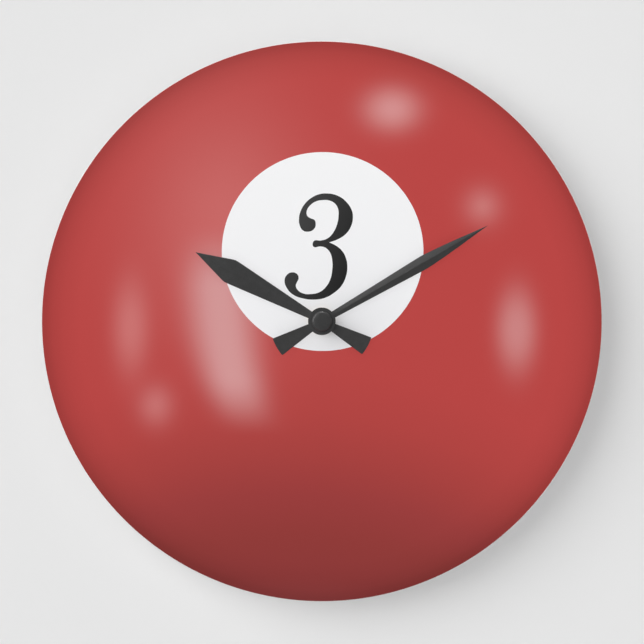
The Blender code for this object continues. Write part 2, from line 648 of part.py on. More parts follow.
def build_hands():
    """Both hands at ten past ten, the hour hand's collet and the closed nut on top."""
    plate("hour_hand", [hand_outline(HOUR_BLADE, *TAIL), circle(3.3, 24)],
          HOUR_HAND_BACK, HOUR_HAND_BACK + HAND_THICKNESS, "black_lacquer",
          turn=(0.0, 0.0, -HOUR_ANGLE))
    turned("hour_hand_collet",
           [(2.56, 26.8), (3.2, 26.8), (3.2, 25.5), (4.6, 25.5), (4.6, 24.7), (2.56, 24.7)],
           "black_lacquer", steps=24, ring=True)
    plate("minute_hand", [hand_outline(MINUTE_BLADE, *TAIL), circle(NUT_BORE, 20)],
          MINUTE_HAND_BACK, MINUTE_HAND_BACK + HAND_THICKNESS, "black_lacquer",
          turn=(0.0, 0.0, -MINUTE_ANGLE))
    dome = [(0.0, NUT_FRONT), (2.0, NUT_FRONT - 0.1), (3.6, NUT_FRONT - 0.45),
            (NUT_RADIUS - 0.35, NUT_FRONT - 0.9), (NUT_RADIUS, NUT_FRONT - 1.3)]
    socket = [(NUT_RADIUS, NUT_BACK), (NUT_BORE, NUT_BACK), (NUT_BORE, 29.95), (0.0, 29.95)]
    turned("hand_nut", dome + socket, "black_lacquer", steps=24)


def build_clock():
    """Build every piece, from the dial back to the battery."""
    build_dial()
    build_hanger()
    build_case()
    build_cover()
    build_bridge()
    build_fixings()
    build_motor()
    build_board()
    build_battery()
    build_train()
    build_motion_work()
    build_hands()


build_clock()
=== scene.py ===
"""Round acrylic wall clock printed as a pool ball: the finished look, on the clock's own frame.

The clock faces -Y with +Z up, and the origin is where the axis of the hands meets the wall.
Sizes are in millimetres, given as x to the right, z upwards and depth in front of the wall.
"""

from __future__ import annotations

import json
import logging
import math
from collections.abc import Callable, Iterable, Sequence
from dataclasses import dataclass
from enum import Enum

import bmesh
import bpy
from mathutils import Matrix, Vector

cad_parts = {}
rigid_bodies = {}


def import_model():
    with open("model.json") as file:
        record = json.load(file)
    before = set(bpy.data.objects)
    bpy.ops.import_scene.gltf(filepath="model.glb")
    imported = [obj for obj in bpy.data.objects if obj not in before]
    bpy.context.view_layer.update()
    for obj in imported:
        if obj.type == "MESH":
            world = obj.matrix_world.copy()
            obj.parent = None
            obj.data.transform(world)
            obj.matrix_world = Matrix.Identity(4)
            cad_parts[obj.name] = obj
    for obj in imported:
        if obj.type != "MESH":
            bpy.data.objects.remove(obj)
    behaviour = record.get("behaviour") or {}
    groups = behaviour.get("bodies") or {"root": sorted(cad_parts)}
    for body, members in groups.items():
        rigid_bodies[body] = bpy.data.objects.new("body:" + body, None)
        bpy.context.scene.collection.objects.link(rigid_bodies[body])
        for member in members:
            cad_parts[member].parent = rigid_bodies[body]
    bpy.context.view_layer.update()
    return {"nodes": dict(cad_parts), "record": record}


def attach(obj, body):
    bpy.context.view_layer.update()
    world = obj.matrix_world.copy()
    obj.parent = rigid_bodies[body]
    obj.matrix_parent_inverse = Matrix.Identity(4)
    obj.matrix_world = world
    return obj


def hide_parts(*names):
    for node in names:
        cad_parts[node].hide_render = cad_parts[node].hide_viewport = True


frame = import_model()

LOG = logging.getLogger("wall_clock")
MM = 0.001
WELD = 1e-7
NODE_WELD = 1e-6
ON_AXIS = 1e-6
CREASE = 32.0
FACETS_LARGE, FACETS_MIDDLE, FACETS_SMALL, FACETS_TINY = 96, 72, 64, 48
CURVE_STEPS = 8
HAND_PIECES = ("hour_hand_pressed", "minute_hand_pressed")

Colour = tuple[float, float, float]
Point = tuple[float, float]
Socket = bpy.types.NodeSocket


def grey(tone: float) -> Colour:
    """Neutral colour of a tone."""
    return tone, tone, tone


class Body(str, Enum):
    """Bodies of the frame that pieces ride on."""

    CLOCK = "clock_body"
    MINUTE = "minute_hand_set"
    HOUR = "hour_hand_set"
    KNOB = "setting_knob_set"
    BATTERY = "battery"


class Slot(str, Enum):
    """Material slots of the record."""

    ACRYLIC = "clear_acrylic"
    FILM = "printed_film"
    LACQUER = "black_lacquer"
    CASE = "case_plastic"
    WHITE = "white_plastic"
    BRASS = "brass"
    STEEL = "steel"
    ZINC = "zinc_steel"
    IRON = "stator_iron"
    COPPER = "copper_wire"
    RUBBER = "rubber"
    BOARD = "board"
    RESIN = "resin"
    MAGNET = "magnet"
    SLEEVE = "cell_sleeve"


class Grain(Enum):
    """Fine relief of a surface."""

    SPARK = "spark eroded mould texture"
    TURNED = "rings left by turning about the axis of the hands"
    BRUSHED = "long scratches along x"
    WOUND = "wire wound about x"
    ROLLED = "soft waves of rolled, sprayed or cast stock"


class Blend(Enum):
    """How one colour is laid on another."""

    OVER = "MIX"
    TIMES = "MULTIPLY"


class Cut(Enum):
    """What a tool does to the mesh that it meets."""

    TAKE_AWAY = "DIFFERENCE"
    KEEP_SHARED = "INTERSECT"


class HandShade(Enum):
    """How the two hands shade a lamp."""

    AS_THE_REST = ""
    ALONE = "INCLUDE"
    NEVER = "EXCLUDE"


# ------------------------------------------------------------------ material nodes


NOISE_SPAN = (0.3, 0.7)
# painted shade in the grain's hollows: the grain heights that it spans and its greatest darkening
HOLLOW_SHADE_SPAN, PAINTED_HOLLOW_SHADE = (0.25, 0.6), 0.16
SMEAR_SHARE, SMEAR_SIZE = 0.6, 0.6
COAT_ROUGHNESS = 0.12
MATT_ROUGHNESS = 0.95
INK_SPECKLE, INK_WAVES, INK_RELIEF = 2600.0, 140.0, 0.004
INK_GLOSS, INK_LEVEL = (0.13, 0.2), 0.4


class Recipe:
    """Node tree of one material, or of the surroundings, written as sums on sockets."""

    def __init__(self, name: str, world: bool = False) -> None:
        """Start an empty tree.

        Args:
            name: Name of the material or world.
            world: Make a world in place of a material.
        """
        self.owner = (bpy.data.worlds if world else bpy.data.materials).new(name)
        self.owner.use_nodes = True
        self.tree = self.owner.node_tree
        self.tree.nodes.clear()
        self.output = self.add("ShaderNodeOutputWorld" if world else "ShaderNodeOutputMaterial")
        self.places = self.add("ShaderNodeTexCoord").outputs
        self.place = self.places["Object"]

    def add(self, kind: str, **settings: object) -> bpy.types.Node:
        """Add a node.

        Args:
            kind: Kind of the node.
            settings: Properties that it gets.

        Returns:
            The node.
        """
        node = self.tree.nodes.new(kind)
        for key, value in settings.items():
            setattr(node, key, value)
        return node

    def feed(self, sockets: Iterable[Socket], *values: Socket | float | Sequence[float]) -> None:
        """Link sockets to others, or set their values.

        Args:
            sockets: Inputs of a node.
            values: What each of them gets, in their order.
        """
        for socket, value in zip(sockets, values):
            if isinstance(value, bpy.types.NodeSocket):
                self.tree.links.new(value, socket)
            else:
                socket.default_value = value

    def sum(self, operation: str, *terms: Socket | float) -> Socket:
        """Result of a Math node.

        Args:
            operation: What it works out.
            terms: Its inputs.

        Returns:
            The result.
        """
        node = self.add("ShaderNodeMath", operation=operation)
        self.feed(node.inputs, *terms)
        return node.outputs[0]

    def vector(self, operation: str, *terms: Socket | Sequence[float]) -> Socket:
        """Result of a Vector Math node.

        Args:
            operation: What it works out.
            terms: Its inputs.

        Returns:
            The result, which is a number for a length or a dot product.
        """
        node = self.add("ShaderNodeVectorMath", operation=operation)
        self.feed(node.inputs, *terms)
        return node.outputs["Value" if operation in ("LENGTH", "DOT_PRODUCT") else "Vector"]

    def axis(self, place: Socket, letter: str) -> Socket:
        """One coordinate of a place.

        Args:
            place: The place.
            letter: X, Y or Z.

        Returns:
            The coordinate.
        """
        node = self.add("ShaderNodeSeparateXYZ")
        self.feed(node.inputs, place)
        return node.outputs[letter]

    def scaled(self, across: Sequence[float]) -> Socket:
        """Place on the surface times a factor for each axis."""
        return self.vector("MULTIPLY", self.place, across)

    def on_dial(self) -> Socket:
        """Place on the dial in millimetres, with y at 0."""
        return self.scaled((1.0 / MM, 0.0, 1.0 / MM))

    def noise(self, scale: float, detail: float = 4.0, at: Socket | None = None) -> Socket:
        """Noise from 0 to 1.

        Args:
            scale: Cells in a metre.
            detail: Layers of finer noise on it.
            at: Place on the surface, if it isn't the plain one.

        Returns:
            The noise.
        """
        node = self.add("ShaderNodeTexNoise")
        self.feed((node.inputs[key] for key in ("Vector", "Scale", "Detail")),
                  at or self.place, scale, detail)
        return node.outputs["Fac"]

    def waves(self, along: Socket, cells: float, patches: float, drift: float) -> Socket:
        """Rings or turns from 0 to 1 that wander a little.

        Args:
            along: Distance across them.
            cells: How many of them there are in a metre.
            patches: Patches of the wandering for each of them.
            drift: How far they wander, in radians.

        Returns:
            Their height.
        """
        wander = self.sum("MULTIPLY", self.noise(cells * patches), drift)
        turns = self.sum("MULTIPLY_ADD", along, math.tau * cells, wander)
        return self.span(self.sum("SINE", turns), -1.0, 1.0, 0.0, 1.0)

    def span(self, value: Socket, low: float, high: float, to_low: float, to_high: float,
             smooth: bool = False) -> Socket:
        """Map a value from one range to another, held at the ends.

        Args:
            value: What is mapped.
            low: Start of its range.
            high: End of its range.
            to_low: Result at low.
            to_high: Result at high.
            smooth: Ease in and out.

        Returns:
            The mapped value.
        """
        node = self.add("ShaderNodeMapRange", clamp=True)
        if smooth:
            node.interpolation_type = "SMOOTHSTEP"
        self.feed(node.inputs, value, low, high, to_low, to_high)
        return node.outputs["Result"]

    def bell(self, off: Socket, fullness: float) -> Socket:
        """Bell curve: 1 at no distance, 0.37 at 1, and flatter on top the fuller it is."""
        return self.sum("EXPONENT", self.sum("MULTIPLY", self.sum("POWER", off, fullness), -1.0))

    def mix(self, factor: Socket | float, first: Socket | Colour, second: Socket | Colour,
            blend: Blend = Blend.OVER) -> Socket:
        """Mix of two colours.

        Args:
            factor: Share of the second.
            first: Colour at 0.
            second: Colour at 1.
            blend: How the second is laid on the first.

        Returns:
            The mixed colour.
        """
        node = self.add("ShaderNodeMix", data_type="RGBA", blend_type=blend.value)
        pair = [s for s in node.inputs if s.type == "RGBA"]
        self.feed((node.inputs["Factor"], *pair), factor, *(
            c if isinstance(c, bpy.types.NodeSocket) else (*c, 1.0) for c in (first, second)))
        return next(s for s in node.outputs if s.type == "RGBA")

    def choose(self, factor: Socket | float, first: Socket, second: Socket) -> Socket:
        """Mix of two shaders.

        Args:
            factor: Share of the second.
            first: Shader at 0.
            second: Shader at 1.

        Returns:
            The mixed shader.
        """
        node = self.add("ShaderNodeMixShader")
        self.feed(node.inputs, factor, first, second)
        return node.outputs[0]

    def ramp(self, value: Socket, stops: Sequence[tuple[float, Colour]]) -> Socket:
        """Colour along a scale of stops given in the value's own unit.

        Args:
            value: Where on the scale.
            stops: Place and colour of each stop, lowest first.

        Returns:
            The colour there.
        """
        low, high = stops[0][0], stops[-1][0]
        node = self.add("ShaderNodeValToRGB")
        bars = node.color_ramp.elements
        while len(bars) < len(stops):
            bars.new(1.0)
        for bar, (at, colour) in zip(bars, stops):
            bar.position = (at - low) / (high - low)
            bar.color = (*colour, 1.0)
        self.feed(node.inputs, self.span(value, low, high, 0.0, 1.0))
        return node.outputs["Color"]

    def bump(self, height: Socket, relief: float) -> Socket:
        """Normal of a surface in relief.

        Args:
            height: Height from 0 to 1.
            relief: Millimetres from the lowest to the highest.

        Returns:
            The normal.
        """
        node = self.add("ShaderNodeBump")
        self.feed((node.inputs["Distance"], node.inputs["Height"]), relief * MM, height)
        return node.outputs["Normal"]

    def shader(self, **inputs: Socket | float | Sequence[float]) -> Socket:
        """Principled shader.

        Args:
            inputs: What its inputs get, each named by its words joined with underscores.

        Returns:
            The shader.
        """
        node = self.add("ShaderNodeBsdfPrincipled")
        self.feed((node.inputs[key.replace("_", " ")] for key in inputs), *inputs.values())
        return node.outputs["BSDF"]

    def finish(self, surface: Socket) -> bpy.types.Material | bpy.types.World:
        """Wire the surface and hand over the material or world."""
        self.feed(self.output.inputs, surface)
        return self.owner


@dataclass(frozen=True)
class Finish:
    """Opaque finish: two close colours mottled together, with its grain and gloss."""

    name: str
    colour: Colour
    second: Colour
    gloss: tuple[float, float]
    grain: Grain
    pitch: float = 0.4
    relief: float = 0.01
    metal: float = 0.0
    coat: float = 0.0
    mottle: float = 6.0

    def pattern(self, recipe: Recipe) -> Socket:
        """Grain from 0 to 1.

        Args:
            recipe: Material that it is for.

        Returns:
            The grain's height.
        """
        cells = 1.0 / (self.pitch * MM)
        if self.grain is Grain.TURNED:
            spread = recipe.vector("LENGTH", recipe.scaled((1.0, 0.0, 1.0)))
            return recipe.waves(spread, cells, 0.2, 3.0)
        if self.grain is Grain.WOUND:
            return recipe.waves(recipe.axis(recipe.place, "X"), cells, 0.1, 1.5)
        if self.grain is Grain.BRUSHED:
            return recipe.noise(cells, 5.0, recipe.scaled((0.04, 1.0, 1.0)))
        if self.grain is Grain.SPARK:
            return recipe.noise(cells, 8.0)
        return recipe.noise(cells, 2.0)

    def colouring(self, recipe: Recipe, grain: Socket) -> Socket:
        """Mottled colour, with painted shade darkening the hollows of the grain.

        Args:
            recipe: Material that it is for.
            grain: Height of the grain.

        Returns:
            The colour.
        """
        patches = recipe.span(recipe.noise(1.0 / (self.mottle * MM), 3.0), *NOISE_SPAN, 0.0, 1.0,
                              True)
        mottled = recipe.mix(patches, self.colour, self.second)
        # painted shade: darker where the grain is low, as if shaded in its hollows
        painted_hollow_shade = recipe.span(grain, *HOLLOW_SHADE_SPAN, PAINTED_HOLLOW_SHADE, 0.0)
        return recipe.mix(painted_hollow_shade, mottled, grey(0.0))

    def material(self) -> bpy.types.Material:
        """Make the material: smears and the grain set how dull it is.

        Returns:
            The material.
        """
        recipe = Recipe(self.name)
        grain = self.pattern(recipe)
        smears = recipe.noise(1.0 / (self.mottle * MM * SMEAR_SIZE))
        dulling = recipe.sum("MULTIPLY_ADD", smears, SMEAR_SHARE,
                             recipe.sum("MULTIPLY", grain, 1.0 - SMEAR_SHARE))
        surface = recipe.shader(
            Base_Color=self.colouring(recipe, grain),
            Roughness=recipe.span(dulling, *NOISE_SPAN, *self.gloss),
            Metallic=self.metal, Coat_Weight=self.coat, Coat_Roughness=COAT_ROUGHNESS,
            Normal=recipe.bump(grain, self.relief))
        return recipe.finish(surface)


@dataclass(frozen=True)
class BandedSleeve(Finish):
    """Shrunk cell sleeve: a dark body with a copper end and a pale ring between, along x."""

    band: Colour = (0.52, 0.25, 0.10)
    ring: Colour = (0.62, 0.62, 0.60)
    edge: float = 11.0
    ring_width: float = 1.1
    sharp: float = 0.04

    def colouring(self, recipe: Recipe, grain: Socket) -> Socket:
        """Plain mottled body, then the ring and the band on the button's side.

        Args:
            recipe: Material that it is for.
            grain: Height of the grain.

        Returns:
            The colour.
        """
        colour = super().colouring(recipe, grain)
        band = recipe.mix(recipe.noise(240.0, 3.0), self.band, self.second)
        along = recipe.axis(recipe.on_dial(), "X")
        for start, after in ((self.edge, self.ring), (self.edge + self.ring_width, band)):
            reached = recipe.span(along, start, start + self.sharp, 0.0, 1.0)
            colour = recipe.mix(reached, colour, after)
        return colour


@dataclass(frozen=True)
class ClearAcrylic:
    """Cast clear acrylic. Lamps shine through it without bending."""

    name: str
    tint: Colour
    rough: tuple[float, float]
    clear: float
    relief: float
    ior: float = 1.49
    streaks: float = 900.0
    patches: float = 60.0
    darker: float = 0.97

    def material(self) -> bpy.types.Material:
        """Make the material: faint streaks dull it, and lamps pass straight through.

        Returns:
            The material.
        """
        recipe = Recipe(self.name)
        streaks = recipe.noise(self.streaks, 5.0, recipe.scaled((1.0, 6.0, 1.0)))
        tone = recipe.mix(recipe.noise(self.patches, 3.0), self.tint,
                          tuple(self.darker * c for c in self.tint))
        body = recipe.shader(Base_Color=tone, Roughness=recipe.span(streaks, 0.35, 0.65, *self.rough),
                             IOR=self.ior, Transmission_Weight=self.clear,
                             Normal=recipe.bump(streaks, self.relief))
        through = recipe.add("ShaderNodeBsdfTransparent")
        recipe.feed(through.inputs, (*self.tint, 1.0))
        shadow = recipe.add("ShaderNodeLightPath").outputs["Is Shadow Ray"]
        return recipe.finish(recipe.choose(recipe.sum("MULTIPLY", shadow, self.clear), body,
                                           through.outputs["BSDF"]))


def ink(recipe: Recipe, colour: Socket, dust: Colour, share: float) -> bpy.types.Material:
    """Glossy printed ink with a fine speckle of dust and slow waves in its surface.

    Args:
        recipe: Material that it is for.
        colour: Colour of the print.
        dust: Colour of the speckle.
        share: How much of the dust shows at most.

    Returns:
        The material.
    """
    speckle = recipe.noise(INK_SPECKLE, 6.0)
    return recipe.finish(recipe.shader(
        Base_Color=recipe.mix(recipe.span(speckle, *NOISE_SPAN, share, 0.0), colour, dust),
        Roughness=recipe.span(speckle, *NOISE_SPAN, *INK_GLOSS), Specular_IOR_Level=INK_LEVEL,
        Normal=recipe.bump(recipe.noise(INK_WAVES, 3.0), INK_RELIEF)))


@dataclass(frozen=True)
class Glow:
    """Soft oval patch of so many millimetres each way: a printed glow in the ball picture, or a
    painted shadow.
    """

    centre: Point
    half: Point
    colour: Colour
    fullness: float = 2.0

    def share(self, recipe: Recipe, place: Socket) -> Socket:
        """How much of the glow's colour lies at a place.

        Args:
            recipe: Material that it is for.
            place: Place on the dial in millimetres, with y at 0.

        Returns:
            Share from 0 to 1.
        """
        off = recipe.vector("SUBTRACT", place, (self.centre[0], 0.0, self.centre[1]))
        oval = recipe.vector("MULTIPLY", off, (1.0 / self.half[0], 0.0, 1.0 / self.half[1]))
        return recipe.bell(recipe.vector("LENGTH", oval), self.fullness)


@dataclass(frozen=True)
class GlowBand:
    """Long curved glow: part of a ring about a far centre, faded out at its two ends."""

    centre: Point = (153.2, 24.1)
    radius: float = 203.3
    half_width: float = 15.0
    top: Point = (14.6, 49.0)
    bottom: Point = (-56.9, -25.9)
    taper: tuple[float, float, float] = (-50.0, 1.3, 0.80)
    colour: Colour = (0.693, 0.327, 0.325)
    fullness: float = 2.47

    def share(self, recipe: Recipe, place: Socket) -> Socket:
        """How much of the band's colour lies at a place.

        Args:
            recipe: Material that it is for.
            place: Place on the dial in millimetres, with y at 0.

        Returns:
            Share from 0 to 1.
        """
        off = recipe.vector("SUBTRACT", place, (self.centre[0], 0.0, self.centre[1]))
        reach = recipe.vector("LENGTH", off)
        across = recipe.sum("ABSOLUTE", recipe.sum("SUBTRACT", reach, self.radius))
        height = recipe.axis(place, "Z")
        fade = recipe.sum("MULTIPLY", recipe.span(height, *self.top, 1.0, 0.0, True),
                          recipe.span(height, *self.bottom, 0.0, 1.0, True))
        low, high, narrow = self.taper
        width = recipe.sum("MULTIPLY", recipe.span(height, low, high, narrow, 1.0, True),
                           self.half_width)
        return recipe.sum("MULTIPLY", fade,
                          recipe.bell(recipe.sum("DIVIDE", across, width), self.fullness))


@dataclass(frozen=True)
class BallPrint:
    """Printed picture of a red ball: shaded top to bottom and towards its edge, with glows."""

    name: str = "ball_print"
    tilt: float = 0.094
    bend: float = 0.0024
    shading: tuple[tuple[float, Colour], ...] = (
        (-150.0, (0.305, 0.0574, 0.0577)),
        (-125.0, (0.279, 0.0429, 0.0411)),
        (-105.0, (0.301, 0.0451, 0.0416)),
        (-85.0, (0.345, 0.0487, 0.0472)),
        (-65.0, (0.412, 0.0550, 0.0508)),
        (-45.0, (0.470, 0.0599, 0.0553)),
        (-20.0, (0.510, 0.0630, 0.0592)),
        (20.0, (0.519, 0.0640, 0.0600)),
        (100.0, (0.524, 0.0644, 0.0606)),
        (137.0, (0.520, 0.0670, 0.0613)),
    )
    edge: tuple[tuple[float, float], ...] = ((104.0, 1.0), (118.0, 1.0), (126.0, 0.94),
                                             (131.0, 0.86), (134.0, 0.762), (136.5, 0.713))
    glows: tuple[Glow | GlowBand, ...] = (
        Glow((-47.0, 52.0), (40.9, 52.8), (0.618, 0.146, 0.140), 1.75),
        Glow((34.1, 103.3), (13.1, 10.2), (0.696, 0.289, 0.283), 2.17),
        Glow((78.3, 56.0), (8.6, 8.8), (0.615, 0.187, 0.181), 1.8),
        Glow((94.9, -4.2), (9.4, 19.4), (0.640, 0.239, 0.235), 2.45),
        Glow((-93.0, -2.5), (8.6, 22.3), (0.631, 0.177, 0.171), 2.24),
        Glow((-80.9, -40.8), (8.3, 9.8), (0.600, 0.167, 0.163), 2.0),
        GlowBand(),
    )

    def material(self) -> bpy.types.Material:
        """Make the material: the shading, the glows on it, then the dark towards the edge.

        Returns:
            The material.
        """
        recipe = Recipe(self.name)
        place = recipe.on_dial()
        x = recipe.axis(place, "X")
        slope = recipe.sum("ADD", recipe.sum("MULTIPLY", x, self.bend), self.tilt)
        height = recipe.sum("ADD", recipe.axis(place, "Z"), recipe.sum("MULTIPLY", x, slope))
        colour = recipe.ramp(height, self.shading)
        for glow in self.glows:
            colour = recipe.mix(glow.share(recipe, place), colour, glow.colour)
        dark = recipe.ramp(recipe.vector("LENGTH", place),
                           [(at, grey(tone)) for at, tone in self.edge])
        return ink(recipe, recipe.mix(1.0, colour, dark, Blend.TIMES), (0.02, 0.0, 0.0), 0.03)


@dataclass(frozen=True)
class SlopedInk:
    """Printed ink whose tone runs from one colour to others along a slope, with any painted shadow
    laid on it.
    """

    name: str
    slope: Point
    stops: tuple[tuple[float, Colour], ...]
    # painted shadow: a soft dark oval laid on the ink where the hub and hands would shade it
    shade: Glow | None = None

    def material(self) -> bpy.types.Material:
        """Make the material: the tone along its slope, then the painted shadow on it.

        Returns:
            The material.
        """
        recipe = Recipe(self.name)
        slope = (self.slope[0] / MM, 0.0, self.slope[1] / MM)
        colour = recipe.ramp(recipe.vector("DOT_PRODUCT", recipe.place, slope), self.stops)
        # painted shadow of the hub and hands, darkening the ink in a soft oval
        if self.shade is not None:
            share = self.shade.share(recipe, recipe.on_dial())
            colour = recipe.mix(share, colour, self.shade.colour)
        return ink(recipe, colour, grey(0.0), 0.025)


@dataclass(frozen=True)
class Finishes:
    """Every finish of the clock."""

    acrylic_face: ClearAcrylic = ClearAcrylic("acrylic_face", (0.985, 0.97, 0.97), (0.015, 0.04),
                                              1.0, 0.001)
    acrylic_edge: ClearAcrylic = ClearAcrylic("acrylic_edge", (0.96, 0.74, 0.74), (0.22, 0.42),
                                              0.25, 0.01)
    ball: BallPrint = BallPrint()
    film_back: Finish = Finish("film_back", (0.80, 0.79, 0.79), (0.785, 0.775, 0.775),
                               (0.3, 0.45), Grain.ROLLED, 2.0, 0.001, mottle=30.0)
    roundel: SlopedInk = SlopedInk(
        "roundel_ink", (-0.2, 0.98),
        ((-16.0, (0.915, 0.915, 0.932)), (82.0, (0.958, 0.958, 0.965))),
        # painted shadow of the hub and hands on the roundel: a soft grey oval below and right of the
        # axis
        Glow((8.0, -8.0), (22.0, 22.0), (0.780, 0.780, 0.794), 1.5))
    numeral: SlopedInk = SlopedInk(
        "numeral_ink", (0.75, -0.35),
        ((-30.0, grey(0.066)), (-12.0, grey(0.036)), (4.0, grey(0.017))))
    lacquer: Finish = Finish("satin_lacquer", grey(0.044), grey(0.038), (0.30, 0.40),
                             Grain.ROLLED, 0.5, 0.004, mottle=3.0)
    case: Finish = Finish("case_plastic", (0.020, 0.020, 0.021), (0.016, 0.016, 0.017),
                          (0.42, 0.58), Grain.SPARK, 0.35, 0.02, mottle=8.0)
    knob: Finish = Finish("knob_plastic", (0.026, 0.026, 0.028), (0.019, 0.019, 0.020),
                          (0.34, 0.48), Grain.SPARK, 0.3, 0.012, mottle=3.0)
    white: Finish = Finish("natural_acetal", (0.76, 0.75, 0.70), (0.68, 0.67, 0.62),
                           (0.38, 0.52), Grain.SPARK, 0.3, 0.006)
    brass: Finish = Finish("turned_brass", (0.78, 0.55, 0.22), (0.66, 0.45, 0.18), (0.20, 0.36),
                           Grain.TURNED, 0.12, 0.004, metal=1.0, mottle=3.0)
    steel: Finish = Finish("bright_steel", (0.62, 0.62, 0.64), (0.52, 0.52, 0.54), (0.2, 0.34),
                           Grain.BRUSHED, 0.08, 0.003, metal=1.0, mottle=3.0)
    zinc: Finish = Finish("zinc_plate", (0.66, 0.66, 0.64), (0.52, 0.53, 0.53), (0.28, 0.46),
                          Grain.BRUSHED, 0.16, 0.005, metal=1.0, mottle=4.0)
    iron: Finish = Finish("stamped_iron", (0.42, 0.41, 0.40), (0.30, 0.29, 0.28), (0.34, 0.5),
                          Grain.BRUSHED, 0.2, 0.006, metal=1.0)
    copper: Finish = Finish("wound_wire", (0.60, 0.22, 0.09), (0.44, 0.13, 0.05), (0.24, 0.36),
                            Grain.WOUND, 0.09, 0.02, metal=0.8, coat=0.5)
    rubber: Finish = Finish("gasket_rubber", (0.022, 0.022, 0.022), (0.035, 0.034, 0.033),
                            (0.70, 0.88), Grain.SPARK, 0.25, 0.02)
    board: Finish = Finish("solder_mask", (0.035, 0.20, 0.08), (0.025, 0.15, 0.06), (0.28, 0.4),
                           Grain.ROLLED, 1.2, 0.01, coat=0.3)
    resin: Finish = Finish("cast_resin", grey(0.018), grey(0.012), (0.18, 0.34), Grain.ROLLED,
                           1.5, 0.03)
    magnet: Finish = Finish("sintered_magnet", (0.20, 0.19, 0.19), (0.13, 0.12, 0.12), (0.4, 0.6),
                            Grain.SPARK, 0.2, 0.012, metal=0.9)
    sleeve: BandedSleeve = BandedSleeve("cell_sleeve", (0.018, 0.030, 0.075),
                                        (0.013, 0.021, 0.055), (0.2, 0.3), Grain.ROLLED, 1.6,
                                        0.008, coat=0.4)

    def for_slot(self, slot: Slot) -> Finish:
        """Finish that a CAD node of this slot takes.

        Args:
            slot: Slot of the record.

        Returns:
            Its finish.
        """
        return {
            Slot.ACRYLIC: self.film_back, Slot.FILM: self.film_back, Slot.LACQUER: self.lacquer,
            Slot.CASE: self.case, Slot.WHITE: self.white, Slot.BRASS: self.brass,
            Slot.STEEL: self.steel, Slot.ZINC: self.zinc, Slot.IRON: self.iron,
            Slot.COPPER: self.copper, Slot.RUBBER: self.rubber, Slot.BOARD: self.board,
            Slot.RESIN: self.resin, Slot.MAGNET: self.magnet, Slot.SLEEVE: self.sleeve,
        }[slot]


# ------------------------------------------------------------------ shapes


def spot(x: float, z: float, depth: float) -> Vector:
    """World place of a point given in millimetres."""
    return Vector((x * MM, -depth * MM, z * MM))


def polar(radius: float, degrees: float, centre: Point = (0.0, 0.0)) -> Point:
    """Point at a radius and direction from a centre, anticlockwise from x."""
    turn = math.radians(degrees)
    return centre[0] + radius * math.cos(turn), centre[1] + radius * math.sin(turn)


def directions(count: int) -> list[float]:
    """So many directions round a circle, in degrees."""
    return [360.0 * k / count for k in range(count)]


def put(name: str, data: bpy.types.ID) -> bpy.types.Object:
    """Put a new object in the scene.

    Args:
        name: Name of the object.
        data: Mesh, curve, light or camera that it shows.

    Returns:
        The object.
    """
    item = bpy.data.objects.new(name, data)
    bpy.context.scene.collection.objects.link(item)
    return item


def worked_out(item: bpy.types.Object) -> bpy.types.Mesh:
    """New mesh of an object with its curve or modifiers worked out."""
    bpy.context.view_layer.update()
    return bpy.data.meshes.new_from_object(item.evaluated_get(bpy.context.evaluated_depsgraph_get()))


def shade(mesh: bpy.types.Mesh, crease: float = CREASE) -> bpy.types.Mesh:
    """Shade a mesh smoothly.

    Args:
        mesh: The mesh.
        crease: Angle in degrees from which an edge stays sharp.

    Returns:
        The same mesh.
    """
    mesh.shade_smooth()
    mesh.set_sharp_from_angle(angle=math.radians(crease))
    return mesh


def to_mesh(work: bmesh.types.BMesh, name: str, crease: float = CREASE) -> bpy.types.Mesh:
    """Weld, face outwards and shade a worked mesh.

    Args:
        work: Worked mesh, which is freed.
        name: Name of the result.
        crease: Angle in degrees from which an edge stays sharp.

    Returns:
        The mesh.
    """
    bmesh.ops.remove_doubles(work, verts=work.verts, dist=WELD)
    bmesh.ops.recalc_face_normals(work, faces=work.faces)
    mesh = bpy.data.meshes.new(name)
    work.to_mesh(mesh)
    work.free()
    return shade(mesh, crease)


def lathe(name: str, profile: Sequence[Point], steps: int, centre: Point = (0.0, 0.0),
          ring: bool = True, across: bool = False,
          slots: Sequence[int] = ()) -> bpy.types.Mesh:
    """Turn a profile about the depth axis, or about a line across the clock.

    Args:
        name: Name of the mesh.
        profile: Points of radius and depth, or of radius and x for a piece that lies across.
        steps: Facets round it.
        centre: Place of the axis as x and z, or as z and depth for one that lies across.
        ring: Close the profile on itself.
        across: Lay the axis along x.
        slots: Material index for each side of the profile.

    Returns:
        The mesh.
    """
    work = bmesh.new()
    rows = []
    for radius, along in profile:
        places = (polar(radius, turn, centre) for turn in directions(steps))
        rows.append([work.verts.new(spot(along, u, v) if across else spot(u, v, along))
                     for u, v in places])
    for number in range(len(rows) if ring else len(rows) - 1):
        here, there = rows[number], rows[(number + 1) % len(rows)]
        for k in range(steps):
            after = (k + 1) % steps
            face = work.faces.new((here[k], here[after], there[after], there[k]))
            if slots:
                face.material_index = slots[number]
    return to_mesh(work, name)


def ring_profile(inner: float, outer: float, back: float, front: float) -> list[Point]:
    """Profile of a plain ring."""
    return [(inner, front), (outer, front), (outer, back), (inner, back)]


def rounded(profile: Sequence[Point], radius: float) -> list[Point]:
    """Round the corners of a profile.

    Args:
        profile: Its points.
        radius: Radius of the rounding, which takes no more than a share of each side.

    Returns:
        The longer list of points.
    """
    share, steps = 0.45, 3
    made: list[Point] = []
    for k, corner in enumerate(profile):
        if corner[0] < ON_AXIS:
            made.append(corner)
            continue
        here = Vector(corner)
        before, after = Vector(profile[k - 1]) - here, Vector(profile[(k + 1) % len(profile)]) - here
        reach = min(radius, share * before.length, share * after.length)
        first, last = here + before.normalized() * reach, here + after.normalized() * reach
        for step in range(steps + 1):
            t = step / steps
            point = first.lerp(here, t).lerp(here.lerp(last, t), t)
            made.append((point.x, point.y))
    return made


